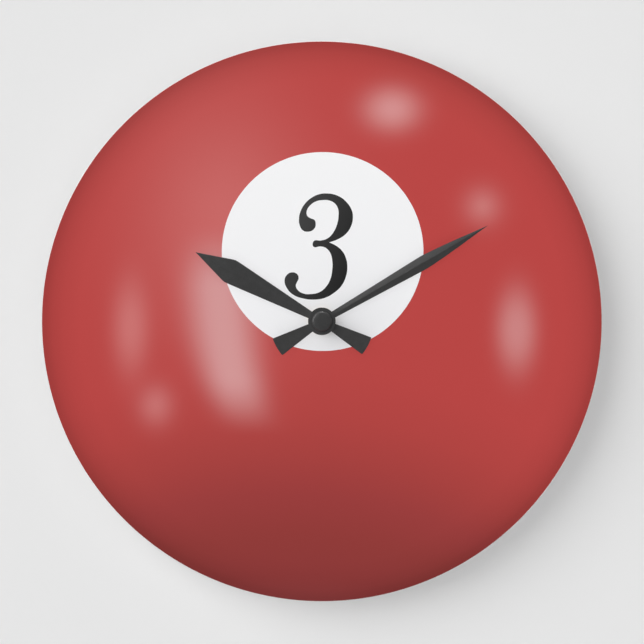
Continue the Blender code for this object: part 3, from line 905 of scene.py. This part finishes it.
def flat(name: str, loops: Sequence[Sequence[tuple]], back: float,
         front: float) -> bpy.types.Mesh:
    """Flat piece cut to smooth outlines.

    Args:
        name: Name of the mesh.
        loops: Outlines, the first one outside; a point is (x, z), or (x, z, True) at a corner.
        back: Depth of its back.
        front: Depth of its front.

    Returns:
        The mesh.
    """
    curve = bpy.data.curves.new(name, "CURVE")
    curve.dimensions, curve.fill_mode = "2D", "BOTH"
    curve.resolution_u = CURVE_STEPS
    curve.extrude = (front - back) / 2.0
    for loop in loops:
        spline = curve.splines.new("BEZIER")
        spline.bezier_points.add(len(loop) - 1)
        spline.use_cyclic_u = True
        for knot, point in zip(spline.bezier_points, loop):
            knot.co = (point[0], point[1], 0.0)
            kind = "VECTOR" if len(point) > 2 else "AUTO"
            knot.handle_left_type = knot.handle_right_type = kind
    holder = put(name, curve)
    work = bmesh.new()
    work.from_mesh(worked_out(holder))
    middle = (front + back) / 2.0
    for vert in work.verts:
        vert.co = spot(vert.co.x, vert.co.y, middle + vert.co.z)
    bpy.data.objects.remove(holder)
    return to_mesh(work, name)


def block(low: Sequence[float], high: Sequence[float], turn: float = 0.0,
          easing: float = 0.0) -> bpy.types.Mesh:
    """Box between two corners, as a tool or with eased edges as a piece.

    Args:
        low: Low corner as x, z and depth.
        high: High corner.
        turn: Turn in its plane, in degrees.
        easing: Width of the rounding of its edges, if it has one.

    Returns:
        The mesh.
    """
    work = bmesh.new()
    bmesh.ops.create_cube(work, size=MM)
    size = [b - a for a, b in zip(low, high)]
    middle = [(a + b) / 2.0 for a, b in zip(low, high)]
    stretch = Matrix.Diagonal((size[0], size[2], size[1], 1.0))
    spin = Matrix.Rotation(-math.radians(turn), 4, "Y")
    work.transform(Matrix.Translation(spot(*middle)) @ spin @ stretch)
    if easing:
        ease(work, work.edges[:], easing, 3)
    return to_mesh(work, "block")


def ease(work: bmesh.types.BMesh, edges: Sequence[bmesh.types.BMEdge], width: float,
         sides: int) -> None:
    """Round edges of a worked mesh to a width, with so many facets across."""
    bmesh.ops.bevel(work, geom=edges, offset=width * MM, segments=sides, profile=0.5,
                    affect="EDGES", clamp_overlap=True)


def combine(base: bpy.types.Mesh, tools: Iterable[bpy.types.Mesh],
            operation: Cut = Cut.TAKE_AWAY) -> bpy.types.Mesh:
    """Work a mesh with tools.

    Args:
        base: Mesh that is worked on.
        tools: Meshes of the tools.
        operation: What the tools do to it.

    Returns:
        The new mesh.
    """
    holder = put("work", base)
    held = [put("tool", tool) for tool in tools]
    for item in held:
        step = holder.modifiers.new("cut", "BOOLEAN")
        step.operation, step.solver, step.object = operation.value, "EXACT", item
    mesh = worked_out(holder)
    for item in (holder, *held):
        bpy.data.objects.remove(item)
    mesh.name = base.name
    mesh.materials.clear()
    return shade(mesh)


def softened(node: str, width: float, sides: int = 3,
             choose: Callable[[Vector], bool] = lambda middle: True) -> bpy.types.Mesh:
    """Copy of a frame node with its sharp edges rounded.

    Args:
        node: Name of the node.
        width: Width of the rounding.
        sides: Facets across the rounding.
        choose: Which edges, by their middle as x, depth and z in millimetres; all if left out.

    Returns:
        The mesh.
    """
    flat_angle, sharp_angle = math.radians(1.0), math.radians(40.0)
    work = bmesh.new()
    work.from_mesh(frame["nodes"][node].data)
    bmesh.ops.remove_doubles(work, verts=work.verts, dist=NODE_WELD)
    bmesh.ops.dissolve_limit(work, angle_limit=flat_angle, verts=work.verts, edges=work.edges)
    sharp = []
    for edge in work.edges:
        middle = (edge.verts[0].co + edge.verts[1].co) / (2.0 * MM)
        if edge.is_manifold and edge.calc_face_angle(0.0) > sharp_angle:
            if choose(Vector((middle.x, -middle.y, middle.z))):
                sharp.append(edge)
    ease(work, sharp, width, sides)
    for face in work.faces:
        face.material_index = 0
    return to_mesh(work, node)


def weigh_normals(item: bpy.types.Object) -> None:
    """Shade a piece by its larger faces, so that flat ones stay flat beside their roundings.

    Args:
        item: The piece, which gets a new mesh.
    """
    step = item.modifiers.new("weigh", "WEIGHTED_NORMAL")
    step.mode, step.weight, step.keep_sharp = "FACE_AREA", 100, True
    mesh = worked_out(item)
    item.modifiers.clear()
    item.data = mesh


def dressed(finish: object) -> bpy.types.Material:
    """Material of a finish, made once."""
    return bpy.data.materials.get(finish.name) or finish.material()


def piece(name: str, mesh: bpy.types.Mesh, body: Body, slot: Slot, finishes: Sequence[object],
          replaces: Sequence[str] = ()) -> bpy.types.Object:
    """Put a finished piece on its body.

    Args:
        name: Name of the piece.
        mesh: Its mesh, in place.
        body: Body that it rides on.
        slot: Slot that its finish comes from; not used.
        finishes: Its finishes, in the order of its material indices.
        replaces: Frame nodes that it stands for.

    Returns:
        The object.
    """
    item = put(name, mesh)
    weigh_normals(item)
    for finish in finishes:
        item.data.materials.append(dressed(finish))
    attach(item, body.value)
    if replaces:
        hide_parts(*replaces)
    LOG.info("%s: %d faces on %s", name, len(mesh.polygons), body.value)
    return item


# ------------------------------------------------------------------ dial


@dataclass
class Dial:
    """Acrylic disc with its printed film, and the nut and washer that hold it."""

    finishes: Finishes
    radius: float = 136.5
    back: float = 18.6
    front: float = 21.6
    hole: float = 4.3
    film_radius: float = 136.3
    film: Point = (21.7, 21.95)
    roundel_centre: Point = (0.38, 34.0)
    roundel_half: Point = (49.1, 48.42)
    roundel_ink: Point = (-0.01, 0.025)
    numeral_ink: Point = (0.015, 0.05)
    numeral_drop: float = 0.2
    corner: float = 0.45
    washer: tuple[float, ...] = (4.15, 6.4, 22.0, 22.4)
    gasket: tuple[float, ...] = (4.3, 12.0, 17.5, 18.5)
    nut_corner: float = 6.35
    nut_depths: Point = (22.5, 24.2)
    nut_crown: tuple[Point, ...] = ((0.0, 24.3), (5.6, 24.3), (6.4, 23.8), (6.4, 22.9),
                                    (5.9, 22.4), (0.0, 22.4))
    nut_bore: tuple[Point, ...] = ((0.0, 24.6), (4.5, 24.6), (4.1, 24.0), (4.1, 22.7),
                                   (4.5, 22.2), (0.0, 22.2))
    steps: int = 360
    roundel_points: int = 48
    bore_points: int = 24
    numeral: tuple[tuple, ...] = (
        (2.16, 62.52), (8.13, 61.21), (12.23, 58.04), (14.65, 54.13), (15.14, 51.14),
        (14.28, 46.67), (11.86, 42.94), (8.13, 40.33), (3.58, 38.65, True), (7.01, 36.97),
        (9.99, 34.36), (11.86, 30.63), (12.42, 26.9), (11.86, 22.43), (9.62, 17.58),
        (5.89, 14.04), (1.42, 11.61), (-3.25, 10.79), (-9.03, 11.31), (-13.87, 13.11),
        (-16.86, 16.09), (-18.16, 19.82), (-17.23, 22.61), (-14.62, 24.03), (-12.01, 23.17),
        (-11.34, 21.12), (-12.2, 19.07), (-12.68, 17.58), (-11.64, 15.34), (-9.03, 13.78),
        (-5.3, 13.48), (-1.2, 14.41), (2.16, 17.21), (4.21, 20.94), (5.07, 25.41),
        (5.14, 29.14), (4.03, 33.62), (1.79, 36.04), (-0.82, 36.67), (-3.99, 36.49),
        (-4.48, 37.79), (-3.73, 39.4), (-0.45, 39.58), (2.91, 40.7), (5.7, 43.69),
        (7.38, 47.41), (8.13, 51.52), (7.83, 55.25), (6.26, 57.67), (3.65, 59.05),
        (0.67, 59.27), (-2.69, 58.68), (-5.86, 56.55), (-7.35, 53.94), (-7.16, 51.7),
        (-5.48, 50.4), (-3.62, 49.58), (-2.99, 47.79), (-3.81, 45.18), (-6.6, 43.87),
        (-9.4, 44.62), (-10.89, 47.41), (-11.15, 50.03), (-10.52, 53.38), (-8.28, 57.48),
        (-4.92, 60.47), (-1.57, 62.03),
    )

    def disc(self) -> None:
        """Acrylic disc: polished faces, and a satin rounded edge."""
        turn = [(self.radius - self.corner * (1.0 - math.cos(math.radians(a))),
                 self.corner * (1.0 - math.sin(math.radians(a)))) for a in (90, 68, 45, 22, 0)]
        edge = [(r, self.front - drop) for r, drop in turn]
        edge += [(r, self.back + drop) for r, drop in reversed(turn)]
        profile = [(self.hole, self.front), *edge, (self.hole, self.back)]
        slots = [0] + [1] * (len(edge) - 1) + [0, 1]
        piece("acrylic_disc", lathe("acrylic_disc", profile, self.steps, slots=slots), Body.CLOCK,
              Slot.ACRYLIC, (self.finishes.acrylic_face, self.finishes.acrylic_edge),
              ["dial_plate"])

    def film_disc(self) -> None:
        """Film: the printed front, and a white back seen through the acrylic."""
        profile = ring_profile(self.hole, self.film_radius, *self.film)
        piece("print_film", lathe("print_film", profile, self.steps, slots=(0, 1, 1, 1)),
              Body.CLOCK, Slot.FILM, (self.finishes.ball, self.finishes.film_back),
              ["dial_print"])

    def inks(self) -> None:
        """White roundel and its numeral, each a thin layer of ink."""
        centre, half = self.roundel_centre, self.roundel_half
        ring = [(centre[0] + half[0] * x, centre[1] + half[1] * z)
                for x, z in (polar(1.0, turn) for turn in directions(self.roundel_points))]
        bore = [polar(self.hole, turn) for turn in directions(self.bore_points)]
        outline = [(x, z - self.numeral_drop, *corner) for x, z, *corner in self.numeral]
        for name, loops, layer, finish in (
                ("print_roundel", [ring, bore], self.roundel_ink, self.finishes.roundel),
                ("print_numeral", [outline], self.numeral_ink, self.finishes.numeral)):
            back, front = (self.film[1] + lift for lift in layer)
            piece(name, flat(name, loops, back, front), Body.CLOCK, Slot.FILM, (finish,))

    def ring(self, name: str, sizes: Sequence[float], edge: float, slot: Slot, node: str) -> None:
        """Plain ring about the thread: its two radii and two depths, then its rounded edges."""
        mesh = lathe(name, rounded(ring_profile(*sizes), edge), FACETS_LARGE)
        piece(name, mesh, Body.CLOCK, slot, (self.finishes.for_slot(slot),), [node])

    def nut(self) -> None:
        """Brass hexagon nut: six flats turned to a crown, with its bore countersunk."""
        corners = [(*polar(self.nut_corner, turn), True) for turn in directions(6)]
        crown = lathe("crown", self.nut_crown, FACETS_MIDDLE, ring=False)
        bore = lathe("bore", self.nut_bore, FACETS_MIDDLE, ring=False)
        blank = combine(flat("hex_nut_cut", [corners], *self.nut_depths), [crown],
                        Cut.KEEP_SHARED)
        piece("hex_nut_cut", combine(blank, [bore]), Body.CLOCK, Slot.BRASS,
              (self.finishes.brass,), ["hex_nut"])

    def fixings(self) -> None:
        """Brass washer and nut in front, rubber gasket behind."""
        self.ring("dial_washer_turned", self.washer, 0.1, Slot.BRASS, "dial_washer")
        self.nut()
        self.ring("gasket_moulded", self.gasket, 0.25, Slot.RUBBER, "rubber_gasket")

    def build(self) -> None:
        """Make every piece of the dial."""
        self.disc()
        self.film_disc()
        self.inks()
        self.fixings()


# ------------------------------------------------------------------ hands


@dataclass
class Hand:
    """Pressed sheet hand: a ridged blade, a round boss and a flared tail."""

    name: str
    body: Body
    node: str
    angle: float
    back: float
    bore: float
    blade: tuple[Point, ...]
    ridge_slope: float
    finish: Finish
    thickness: float = 0.32
    boss: float = 6.7
    boss_lift: float = 0.42
    tail_end: float = 25.3
    tail: Point = (2.1, 4.7)
    rim: float = 0.1
    rim_drop: float = 0.7
    crest: float = 0.18
    ridge_start: Point = (5.6, 10.5)
    thinnest: float = 0.05
    crease: float = 28.0
    tail_turns: tuple[float, ...] = (0.3, 2.5, 5.0, 7.5)
    tail_corner: Point = (0.35, 0.06)
    tail_steps: tuple[float, ...] = (0.1, 0.25, 0.4, 0.55, 0.7, 0.85)
    boss_steps: int = 26
    station_gap: float = 3.0

    def outline(self) -> list[Point]:
        """Stations along the hand, as distance from the axis and half width.

        Returns:
            Stations from the end of the tail to the tip.
        """
        neck, flare = self.tail
        corner = math.degrees(math.asin(flare / self.tail_end))
        stations = [(-self.tail_end * math.cos(math.radians(a)),
                     self.tail_end * math.sin(math.radians(a)))
                    for a in (*self.tail_turns, corner - 0.8)]
        stop = self.tail_end * math.cos(math.radians(corner))
        start = math.sqrt(self.boss ** 2 - neck ** 2)
        stations += [(-(stop - self.tail_corner[0]), flare - self.tail_corner[1])]
        stations += [(-(stop + (start - stop) * t), flare + (neck - flare) * t)
                     for t in self.tail_steps]
        first = 180.0 - math.degrees(math.asin(neck / self.boss))
        last = math.degrees(math.asin(self.blade[0][1] / self.boss))
        stations += [polar(self.boss, first + (last - first) * k / self.boss_steps)
                     for k in range(self.boss_steps + 1)]
        for (near, wide), (far, narrow) in zip(self.blade, self.blade[1:]):
            parts = max(2, round((far - near) / self.station_gap))
            stations += [(near + (far - near) * k / parts, wide + (narrow - wide) * k / parts)
                         for k in range(1, parts + 1)]
        return stations

    def height(self, along: float, half: float, off: float) -> float:
        """Height of the upper face above its edge.

        Args:
            along: Distance from the axis.
            half: Half width there.
            off: Distance from the middle line.

        Returns:
            The height.
        """
        low, high = self.ridge_start
        share = min(1.0, max(0.0, (along - low) / (high - low)))
        share *= share * (3.0 - 2.0 * share)
        flat_top = self.crest * (1.0 - off / max(half, self.crest))
        ridge = self.ridge_slope * (half - max(off, flat_top))
        round_off = self.rim * max(0.0, 1.0 - (half - off) / self.rim)
        return share * max(0.0, ridge) + (1.0 - share) * self.boss_lift - round_off * self.rim_drop

    def mesh(self) -> bpy.types.Mesh:
        """Skin of the hand, turned to its clock angle.

        Returns:
            The mesh, with its bore cut.
        """
        turn = math.radians(self.angle)
        work = bmesh.new()
        rows = []
        for along, half in self.outline():
            half = max(half, self.thinnest)
            rim = min(self.rim, 0.3 * half)
            crest = min(self.crest, 0.2 * half)
            offs = [half, half - 0.35 * rim, half - rim, 0.55 * half, crest]
            offs = [-o for o in offs] + [0.0] + offs[::-1]
            upper, lower = [], []
            for off in offs:
                x = off * math.cos(turn) + along * math.sin(turn)
                z = -off * math.sin(turn) + along * math.cos(turn)
                top = self.back + self.thickness + self.height(along, half, abs(off))
                under = max(self.back, top - self.thickness - 0.02)
                upper.append(work.verts.new(spot(x, z, top)))
                lower.append(work.verts.new(spot(x, z, under)))
            rows.append(upper + lower[::-1])
        for here, there in zip(rows, rows[1:]):
            for k in range(len(here)):
                after = (k + 1) % len(here)
                work.faces.new((here[k], here[after], there[after], there[k]))
        work.faces.new(rows[0])
        work.faces.new(rows[-1][::-1])
        blank = to_mesh(work, self.name, self.crease)
        drill = ring_profile(0.0, self.bore, self.back - 1.0, self.back + 2.0)[::-1]
        return combine(blank, [lathe("drill", drill, FACETS_SMALL, ring=False)])

    def build(self) -> None:
        """Make the hand."""
        piece(self.name, self.mesh(), self.body, Slot.LACQUER, (self.finish,), [self.node])


@dataclass
class HandSet:
    """Both hands, the hour hand's collet and the closed nut over them."""

    finishes: Finishes
    hour_blade: tuple[Point, ...] = ((6.44, 1.85), (47.5, 5.75), (49.4, 5.90), (50.9, 5.95),
                                     (52.4, 5.62), (69.9, 0.0))
    minute_blade: tuple[Point, ...] = ((6.49, 1.68), (32.0, 2.55), (54.0, 3.32), (57.5, 3.38),
                                       (60.0, 3.25), (66.9, 2.75), (76.0, 1.9), (92.8, 0.0))
    collet_profile: tuple[Point, ...] = ((2.56, 26.8), (3.2, 26.8), (3.2, 25.5), (4.6, 25.5),
                                         (4.6, 24.7), (2.56, 24.7))
    nut_radius: float = 4.85
    nut_depths: Point = (28.95, 31.0)
    nut_facets: int = 128
    thread: Point = (1.58, 29.95)

    def collet(self) -> None:
        """Collet that the hour hand is riveted on."""
        mesh = lathe("hour_collet_turned", rounded(self.collet_profile, 0.12), FACETS_MIDDLE)
        piece("hour_collet_turned", mesh, Body.HOUR, Slot.LACQUER, (self.finishes.lacquer,),
              ["hour_hand_collet"])

    def nut(self) -> None:
        """Closed nut: a flat face, a bright chamfered shoulder and an undercut foot."""
        back, front = self.nut_depths
        bore, bottom = self.thread
        r = self.nut_radius
        face = [(0.0, front), (2.2, front - 0.01), (r - 1.05, front - 0.04), (r - 0.75, front - 0.1),
                (r - 0.3, front - 0.42), (r - 0.08, front - 0.7), (r, front - 0.95)]
        foot = [(r, back + 0.25), (r - 0.12, back + 0.08), (r - 0.35, back), (bore, back),
                (bore, bottom), (0.0, bottom)]
        piece("hand_nut_turned", lathe("hand_nut_turned", face + foot, self.nut_facets, ring=False),
              Body.MINUTE, Slot.LACQUER, (self.finishes.lacquer,), ["hand_nut"])

    def build(self) -> None:
        """Make the hands and what holds them."""
        hour, minute = HAND_PIECES
        Hand(hour, Body.HOUR, "hour_hand", angle=298.7, back=25.6, bore=3.25,
             blade=self.hour_blade, ridge_slope=0.085, finish=self.finishes.lacquer).build()
        Hand(minute, Body.MINUTE, "minute_hand", angle=60.0, back=28.0, bore=1.62,
             blade=self.minute_blade, ridge_slope=0.21, finish=self.finishes.lacquer).build()
        self.collet()
        self.nut()


# ------------------------------------------------------------------ movement


@dataclass
class PanScrew:
    """Pan-head screw in the cover, slotted."""

    name: str
    centre: Point
    turn: float
    finish: Finish
    head: Point = (0.1, 0.65)
    tip: float = 7.0
    slot: tuple[float, float, float] = (2.0, 0.2, 0.3)

    def build(self) -> None:
        """Make the screw."""
        back, front = self.head
        profile = [(0.0, back), (0.9, back + 0.02), (1.3, back + 0.12), (1.5, back + 0.34),
                   (1.5, front), (0.7, front + 0.03), (0.7, self.tip - 0.6), (0.35, self.tip),
                   (0.0, self.tip)]
        blank = lathe(self.name, profile, FACETS_TINY, self.centre, ring=False)
        x, z = self.centre
        long, thin, deep = self.slot
        saw = block((x - long, z - thin, back - 1.0), (x + long, z + thin, back + deep), self.turn)
        piece(self.name + "_turned", combine(blank, [saw]), Body.CLOCK, Slot.STEEL,
              (self.finish,), [self.name])


@dataclass
class Movement:
    """Square movement behind the dial: case, cover, hanger, knob, screws and battery."""

    finishes: Finishes
    half: float = 28.0
    case_easing: float = 0.5
    cover_easing: float = 0.3
    hanger_easing: float = 0.15
    knob_easing: float = 0.12
    bar_easing: float = 0.2
    can_easing: float = 0.3
    corner: float = 2.4
    near: float = 0.1
    case_front: float = 16.5
    setting: Point = (3.888088, 17.938032)
    arrow_radii: Point = (7.0, 7.8)
    arrow_turn: tuple[int, int, int] = (200, 280, 294)
    barb: float = 0.66
    above: float = -0.5
    sunk: float = 0.3
    sign: Point = (1.3, 0.28)
    sign_place: Point = (18.4, -8.7)
    groove: tuple[float, ...] = (-16.0, -6.0, -2.6, -2.0)
    groove_pitch: float = 1.6
    groove_depth: float = 0.25
    dish: tuple[Point, ...] = ((0.0, 0.75), (3.2, 0.75), (3.9, 0.5), (4.1, 0.1), (4.1, -0.6),
                               (0.0, -0.6))
    finger_bar: tuple[float, float, float, float] = (3.9, 0.55, 0.35, 1.0)
    finger_bar_turn: float = 25.0
    screws: tuple[Point, ...] = ((-24.9, 24.9), (24.9, 24.9), (-23.9, -8.5), (23.9, -8.5))
    screw_turn: float = 35.0
    screw_turn_step: float = 40.0
    cell: Point = (-19.5, 8.0)
    can: tuple[Point, ...] = ((0.0, 25.9), (2.7, 25.9), (2.7, 24.9), (5.2, 24.9), (5.2, 24.7),
                              (6.9, 24.7), (7.0, 24.3), (7.0, -24.4), (6.3, -24.8), (0.0, -24.8))
    sleeve: tuple[Point, ...] = ((7.1, 24.25), (7.2, 24.25), (7.25, 24.1), (7.25, -24.1),
                                 (7.2, -24.2), (7.1, -24.2))

    def case_edge(self, middle: Vector) -> bool:
        """Whether an edge of the case is on its outside, by the middle of the edge."""
        outside = max(abs(middle.x), abs(middle.z)) > self.half - self.corner
        return outside and not self.near <= middle.y <= self.case_front - self.near

    def cover_edge(self, middle: Vector) -> bool:
        """Whether an edge of the cover is on its outside, by the middle of the edge."""
        return middle.y < self.near and max(abs(middle.x), middle.z) > self.half - self.corner

    def case(self) -> None:
        """Front case, with its outer edges rounded."""
        piece("case_front_moulded", softened("case_front", self.case_easing,
                                             choose=self.case_edge),
              Body.CLOCK, Slot.CASE, (self.finishes.case,), ["case_front"])

    def arrow(self) -> bpy.types.Mesh:
        """Cutter for the curved arrow beside the knob.

        Returns:
            The mesh.
        """
        inner, outer = self.arrow_radii
        start, neck, tip = self.arrow_turn
        sweep = range(start, neck + 1, 10)
        rim = [*((outer, turn) for turn in sweep), (outer + self.barb, neck),
               ((inner + outer) / 2.0, tip), (inner - self.barb, neck),
               *((inner, turn) for turn in reversed(sweep))]
        band = [(*polar(radius, turn, self.setting), True) for radius, turn in rim]
        return flat("arrow", [band], self.above, self.sunk)

    def cover(self) -> None:
        """Rear cover with the arrow, two signs of the cell and four grooves sunk in it."""
        plate = softened("rear_cover", self.cover_easing, 2, self.cover_edge)
        long, thin = self.sign
        x, z = self.sign_place
        tools = [self.arrow()]
        for at, wide, tall in ((x, long, thin), (x, thin, long), (-x, long, thin)):
            tools.append(block((at - wide, z - tall, self.above), (at + wide, z + tall, self.sunk)))
        left, right, low, high = self.groove
        for lift in (self.groove_pitch * k for k in range(4)):
            tools.append(block((left, low + lift, self.above),
                               (right, high + lift, self.groove_depth)))
        piece("rear_cover_moulded", combine(plate, tools), Body.CLOCK, Slot.CASE,
              (self.finishes.case,), ["rear_cover"])

    def hanger(self) -> None:
        """Zinc plated hanger with broken edges."""
        piece("hanger_pressed", softened("hanger_plate", self.hanger_easing, 2), Body.CLOCK,
              Slot.ZINC, (self.finishes.zinc,), ["hanger_plate"])

    def knob(self) -> None:
        """Knurled setting knob with a dished face and a finger bar."""
        knurled = softened("setting_knob", self.knob_easing, 2, lambda middle: middle.y < 0.4)
        dish = lathe("dish", self.dish, FACETS_SMALL, self.setting, ring=False)
        x, z = self.setting
        long, thin, back, front = self.finger_bar
        bar = block((x - long, z - thin, back), (x + long, z + thin, front), self.finger_bar_turn,
                    self.bar_easing)
        piece("setting_knob_moulded", combine(knurled, [dish]), Body.KNOB, Slot.CASE,
              (self.finishes.knob,), ["setting_knob"])
        piece("setting_knob_bar", bar, Body.KNOB, Slot.CASE, (self.finishes.knob,))

    def battery(self) -> None:
        """AA cell: drawn can with its button, and the printed sleeve shrunk over its ends."""
        for name, profile, ring, slot, finish, node in (
                ("battery_can_drawn", rounded(self.can, self.can_easing), False, Slot.STEEL,
                 self.finishes.steel, "battery_can"),
                ("battery_sleeve_shrunk", self.sleeve, True, Slot.SLEEVE, self.finishes.sleeve,
                 "battery_sleeve")):
            mesh = lathe(name, profile, FACETS_LARGE, self.cell, ring, across=True)
            piece(name, mesh, Body.BATTERY, slot, (finish,), [node])

    def build(self) -> None:
        """Make every piece of the movement that shows."""
        self.case()
        self.cover()
        self.hanger()
        self.knob()
        self.battery()
        for number, centre in enumerate(self.screws):
            turn = self.screw_turn + self.screw_turn_step * number
            PanScrew(f"cover_screw_{number + 1}", centre, turn, self.finishes.steel).build()


@dataclass
class Train:
    """The frame's own pieces that stay: wheels, motor, board and contacts, each dressed."""

    finishes: Finishes

    def build(self) -> None:
        """Give every frame node the finish of its slot."""
        slots = {part["node"]: Slot(part["material_slot"]) for part in frame["record"]["subparts"]}
        for name, node in frame["nodes"].items():
            node.data.materials.clear()
            node.data.materials.append(dressed(self.finishes.for_slot(slots[name])))
            LOG.info("%s dressed in %s", name, slots[name].value)


# ------------------------------------------------------------------ studio


@dataclass(frozen=True)
class Lamp:
    """Far lamp: where its light goes, how strong it is and how wide it stands in the sky."""

    name: str
    towards: tuple[float, float, float]
    strength: float
    width: float
    mirrored: bool = True
    hands: HandShade = HandShade.AS_THE_REST

    def build(self) -> None:
        """Hang the lamp, and settle how the hands shade it."""
        light = bpy.data.lights.new(self.name, "SUN")
        light.energy, light.angle = self.strength, math.radians(self.width)
        item = put(self.name, light)
        item.rotation_mode = "QUATERNION"
        item.rotation_quaternion = Vector(self.towards).to_track_quat("-Z", "Y")
        item.visible_glossy = self.mirrored
        if self.hands is not HandShade.AS_THE_REST:
            shades = bpy.data.collections.new(self.name + "_shades")
            for number, shade in enumerate(HAND_PIECES):
                shades.objects.link(bpy.data.objects[shade])
                shades.collection_objects[number].light_linking.link_state = self.hands.value
            item.light_linking.blocker_collection = shades


@dataclass
class Studio:
    """Pale wall that the clock hangs on, pale floor, soft lamps and the camera."""

    wall_tone: float = 0.809
    floor_tone: float = 0.78
    wall_half: float = 3.2
    wall_behind: float = 0.0002
    floor_drop: float = 1.2
    floor_half: float = 14.0
    distance: float = 1.6
    lens: float = 183.6
    eye: Point = (0.08, -0.33)
    sight_depth: float = 21.95
    faint: float = 0.07
    seen: float = 0.80
    front_span: Point = (0.75, 0.97)
    front_tones: Point = (0.42, 0.03)
    lamps: tuple[Lamp, ...] = (
        Lamp("front_lamp", (0.0, 1.0, 0.0), 1.10, 3.0, False),
        Lamp("soft_lamp", (0.05, 1.0, 0.1), 0.57, 80.0, False, HandShade.ALONE),
        Lamp("window_lamp", (0.672, 0.679, -0.299), 1.90, 59.0, True, HandShade.NEVER),
        Lamp("rear_left_lamp", (0.70, -0.60, -0.38), 1.3, 30.0),
        Lamp("rear_right_lamp", (-0.75, -0.55, -0.35), 1.3, 30.0),
        Lamp("top_lamp", (0.0, 0.0, -1.0), 1.45, 8.0),
    )

    def matt(self, recipe: Recipe, tone: float, cells: float, spread: float) -> Socket:
        """Matt surface with patches, so many a metre, that are darker by the spread."""
        colour = recipe.mix(recipe.noise(cells), grey(tone), grey(tone - spread))
        return recipe.shader(Base_Color=colour, Roughness=MATT_ROUGHNESS, Specular_IOR_Level=0.0)

    def screed(self) -> bpy.types.Material:
        """Plain matt floor."""
        recipe = Recipe("pale_floor")
        return recipe.finish(self.matt(recipe, self.floor_tone, 3.0, 0.004))

    def plaster(self) -> bpy.types.Material:
        """Smooth painted wall, clear from behind, that keeps the rear lamps off its own face.

        Returns:
            The material.
        """
        recipe = Recipe("painted_wall")
        paint = self.matt(recipe, self.wall_tone, 30.0, 0.006)
        clear = recipe.add("ShaderNodeBsdfTransparent").outputs["BSDF"]
        ray = recipe.add("ShaderNodeLightPath").outputs
        behind = recipe.add("ShaderNodeNewGeometry").outputs["Backfacing"]
        shown = recipe.sum("MULTIPLY", recipe.sum("SUBTRACT", 1.0, behind), ray["Is Camera Ray"])
        bounced = recipe.sum("GREATER_THAN", ray["Diffuse Depth"], 0.5)
        shading = recipe.sum("MULTIPLY", ray["Is Shadow Ray"], bounced)
        return recipe.finish(recipe.choose(recipe.sum("MAXIMUM", shown, shading), clear, paint))

    def sheet(self, name: str, half: float, place: Callable[[float, float], Point],
              material: bpy.types.Material) -> None:
        """Flat square sheet of the stage.

        Args:
            name: Its name.
            half: Half of its side, in metres.
            place: World place of a point of it, by its two distances from the middle.
            material: What it is made of.
        """
        corners = [place(u * half, v * half) for u, v in ((-1, -1), (1, -1), (1, 1), (-1, 1))]
        mesh = bpy.data.meshes.new(name)
        mesh.from_pydata(corners, [], [(0, 1, 2, 3)])
        mesh.materials.append(material)
        item = put(name, mesh)
        item.visible_diffuse = item.visible_glossy = False

    def backdrop(self, recipe: Recipe, tone: float, strength: Socket | float = 1.0) -> Socket:
        """Plain grey surroundings.

        Args:
            recipe: World that they are for.
            tone: Their tone.
            strength: How much of it there is.

        Returns:
            The shader.
        """
        node = recipe.add("ShaderNodeBackground")
        recipe.feed(node.inputs, (*grey(tone), 1.0), strength)
        return node.outputs[0]

    def sky(self) -> None:
        """Pale surroundings: faint as light, mirrored darker in front, and pale where seen."""
        recipe = Recipe("studio", world=True)
        ray = recipe.add("ShaderNodeLightPath").outputs
        facing = recipe.vector("DOT_PRODUCT", recipe.places["Generated"], (0.0, -1.0, 0.0))
        mirrored = self.backdrop(recipe, 1.0, recipe.span(facing, *self.front_span,
                                                          *self.front_tones))
        lit = recipe.choose(ray["Is Glossy Ray"], self.backdrop(recipe, self.faint), mirrored)
        bpy.context.scene.world = recipe.finish(
            recipe.choose(ray["Is Camera Ray"], lit, self.backdrop(recipe, self.seen)))

    def camera(self) -> None:
        """Camera straight in front of the dial."""
        data = bpy.data.cameras.new("camera")
        data.lens = self.lens
        item = put("camera", data)
        item.location = spot(*self.eye, self.sight_depth + self.distance / MM)
        item.rotation_euler = (math.radians(90.0), 0.0, 0.0)
        bpy.context.scene.camera = item

    def build(self) -> None:
        """Set the stage, the lamps and the camera."""
        self.sheet("wall", self.wall_half, lambda u, v: (u, self.wall_behind, v), self.plaster())
        self.sheet("floor", self.floor_half, lambda u, v: (u, v, -self.floor_drop), self.screed())
        for lamp in self.lamps:
            lamp.build()
        self.sky()
        self.camera()
        view = bpy.context.scene.view_settings
        view.view_transform, view.look = "Standard", "None"


def main() -> None:
    """Build the clock from its wheels to its dial, then the studio."""
    logging.basicConfig(level=logging.INFO, format="%(name)s: %(message)s")
    finishes = Finishes()
    Train(finishes).build()
    Movement(finishes).build()
    Dial(finishes).build()
    HandSet(finishes).build()
    Studio().build()


if __name__ == "__main__":
    main()
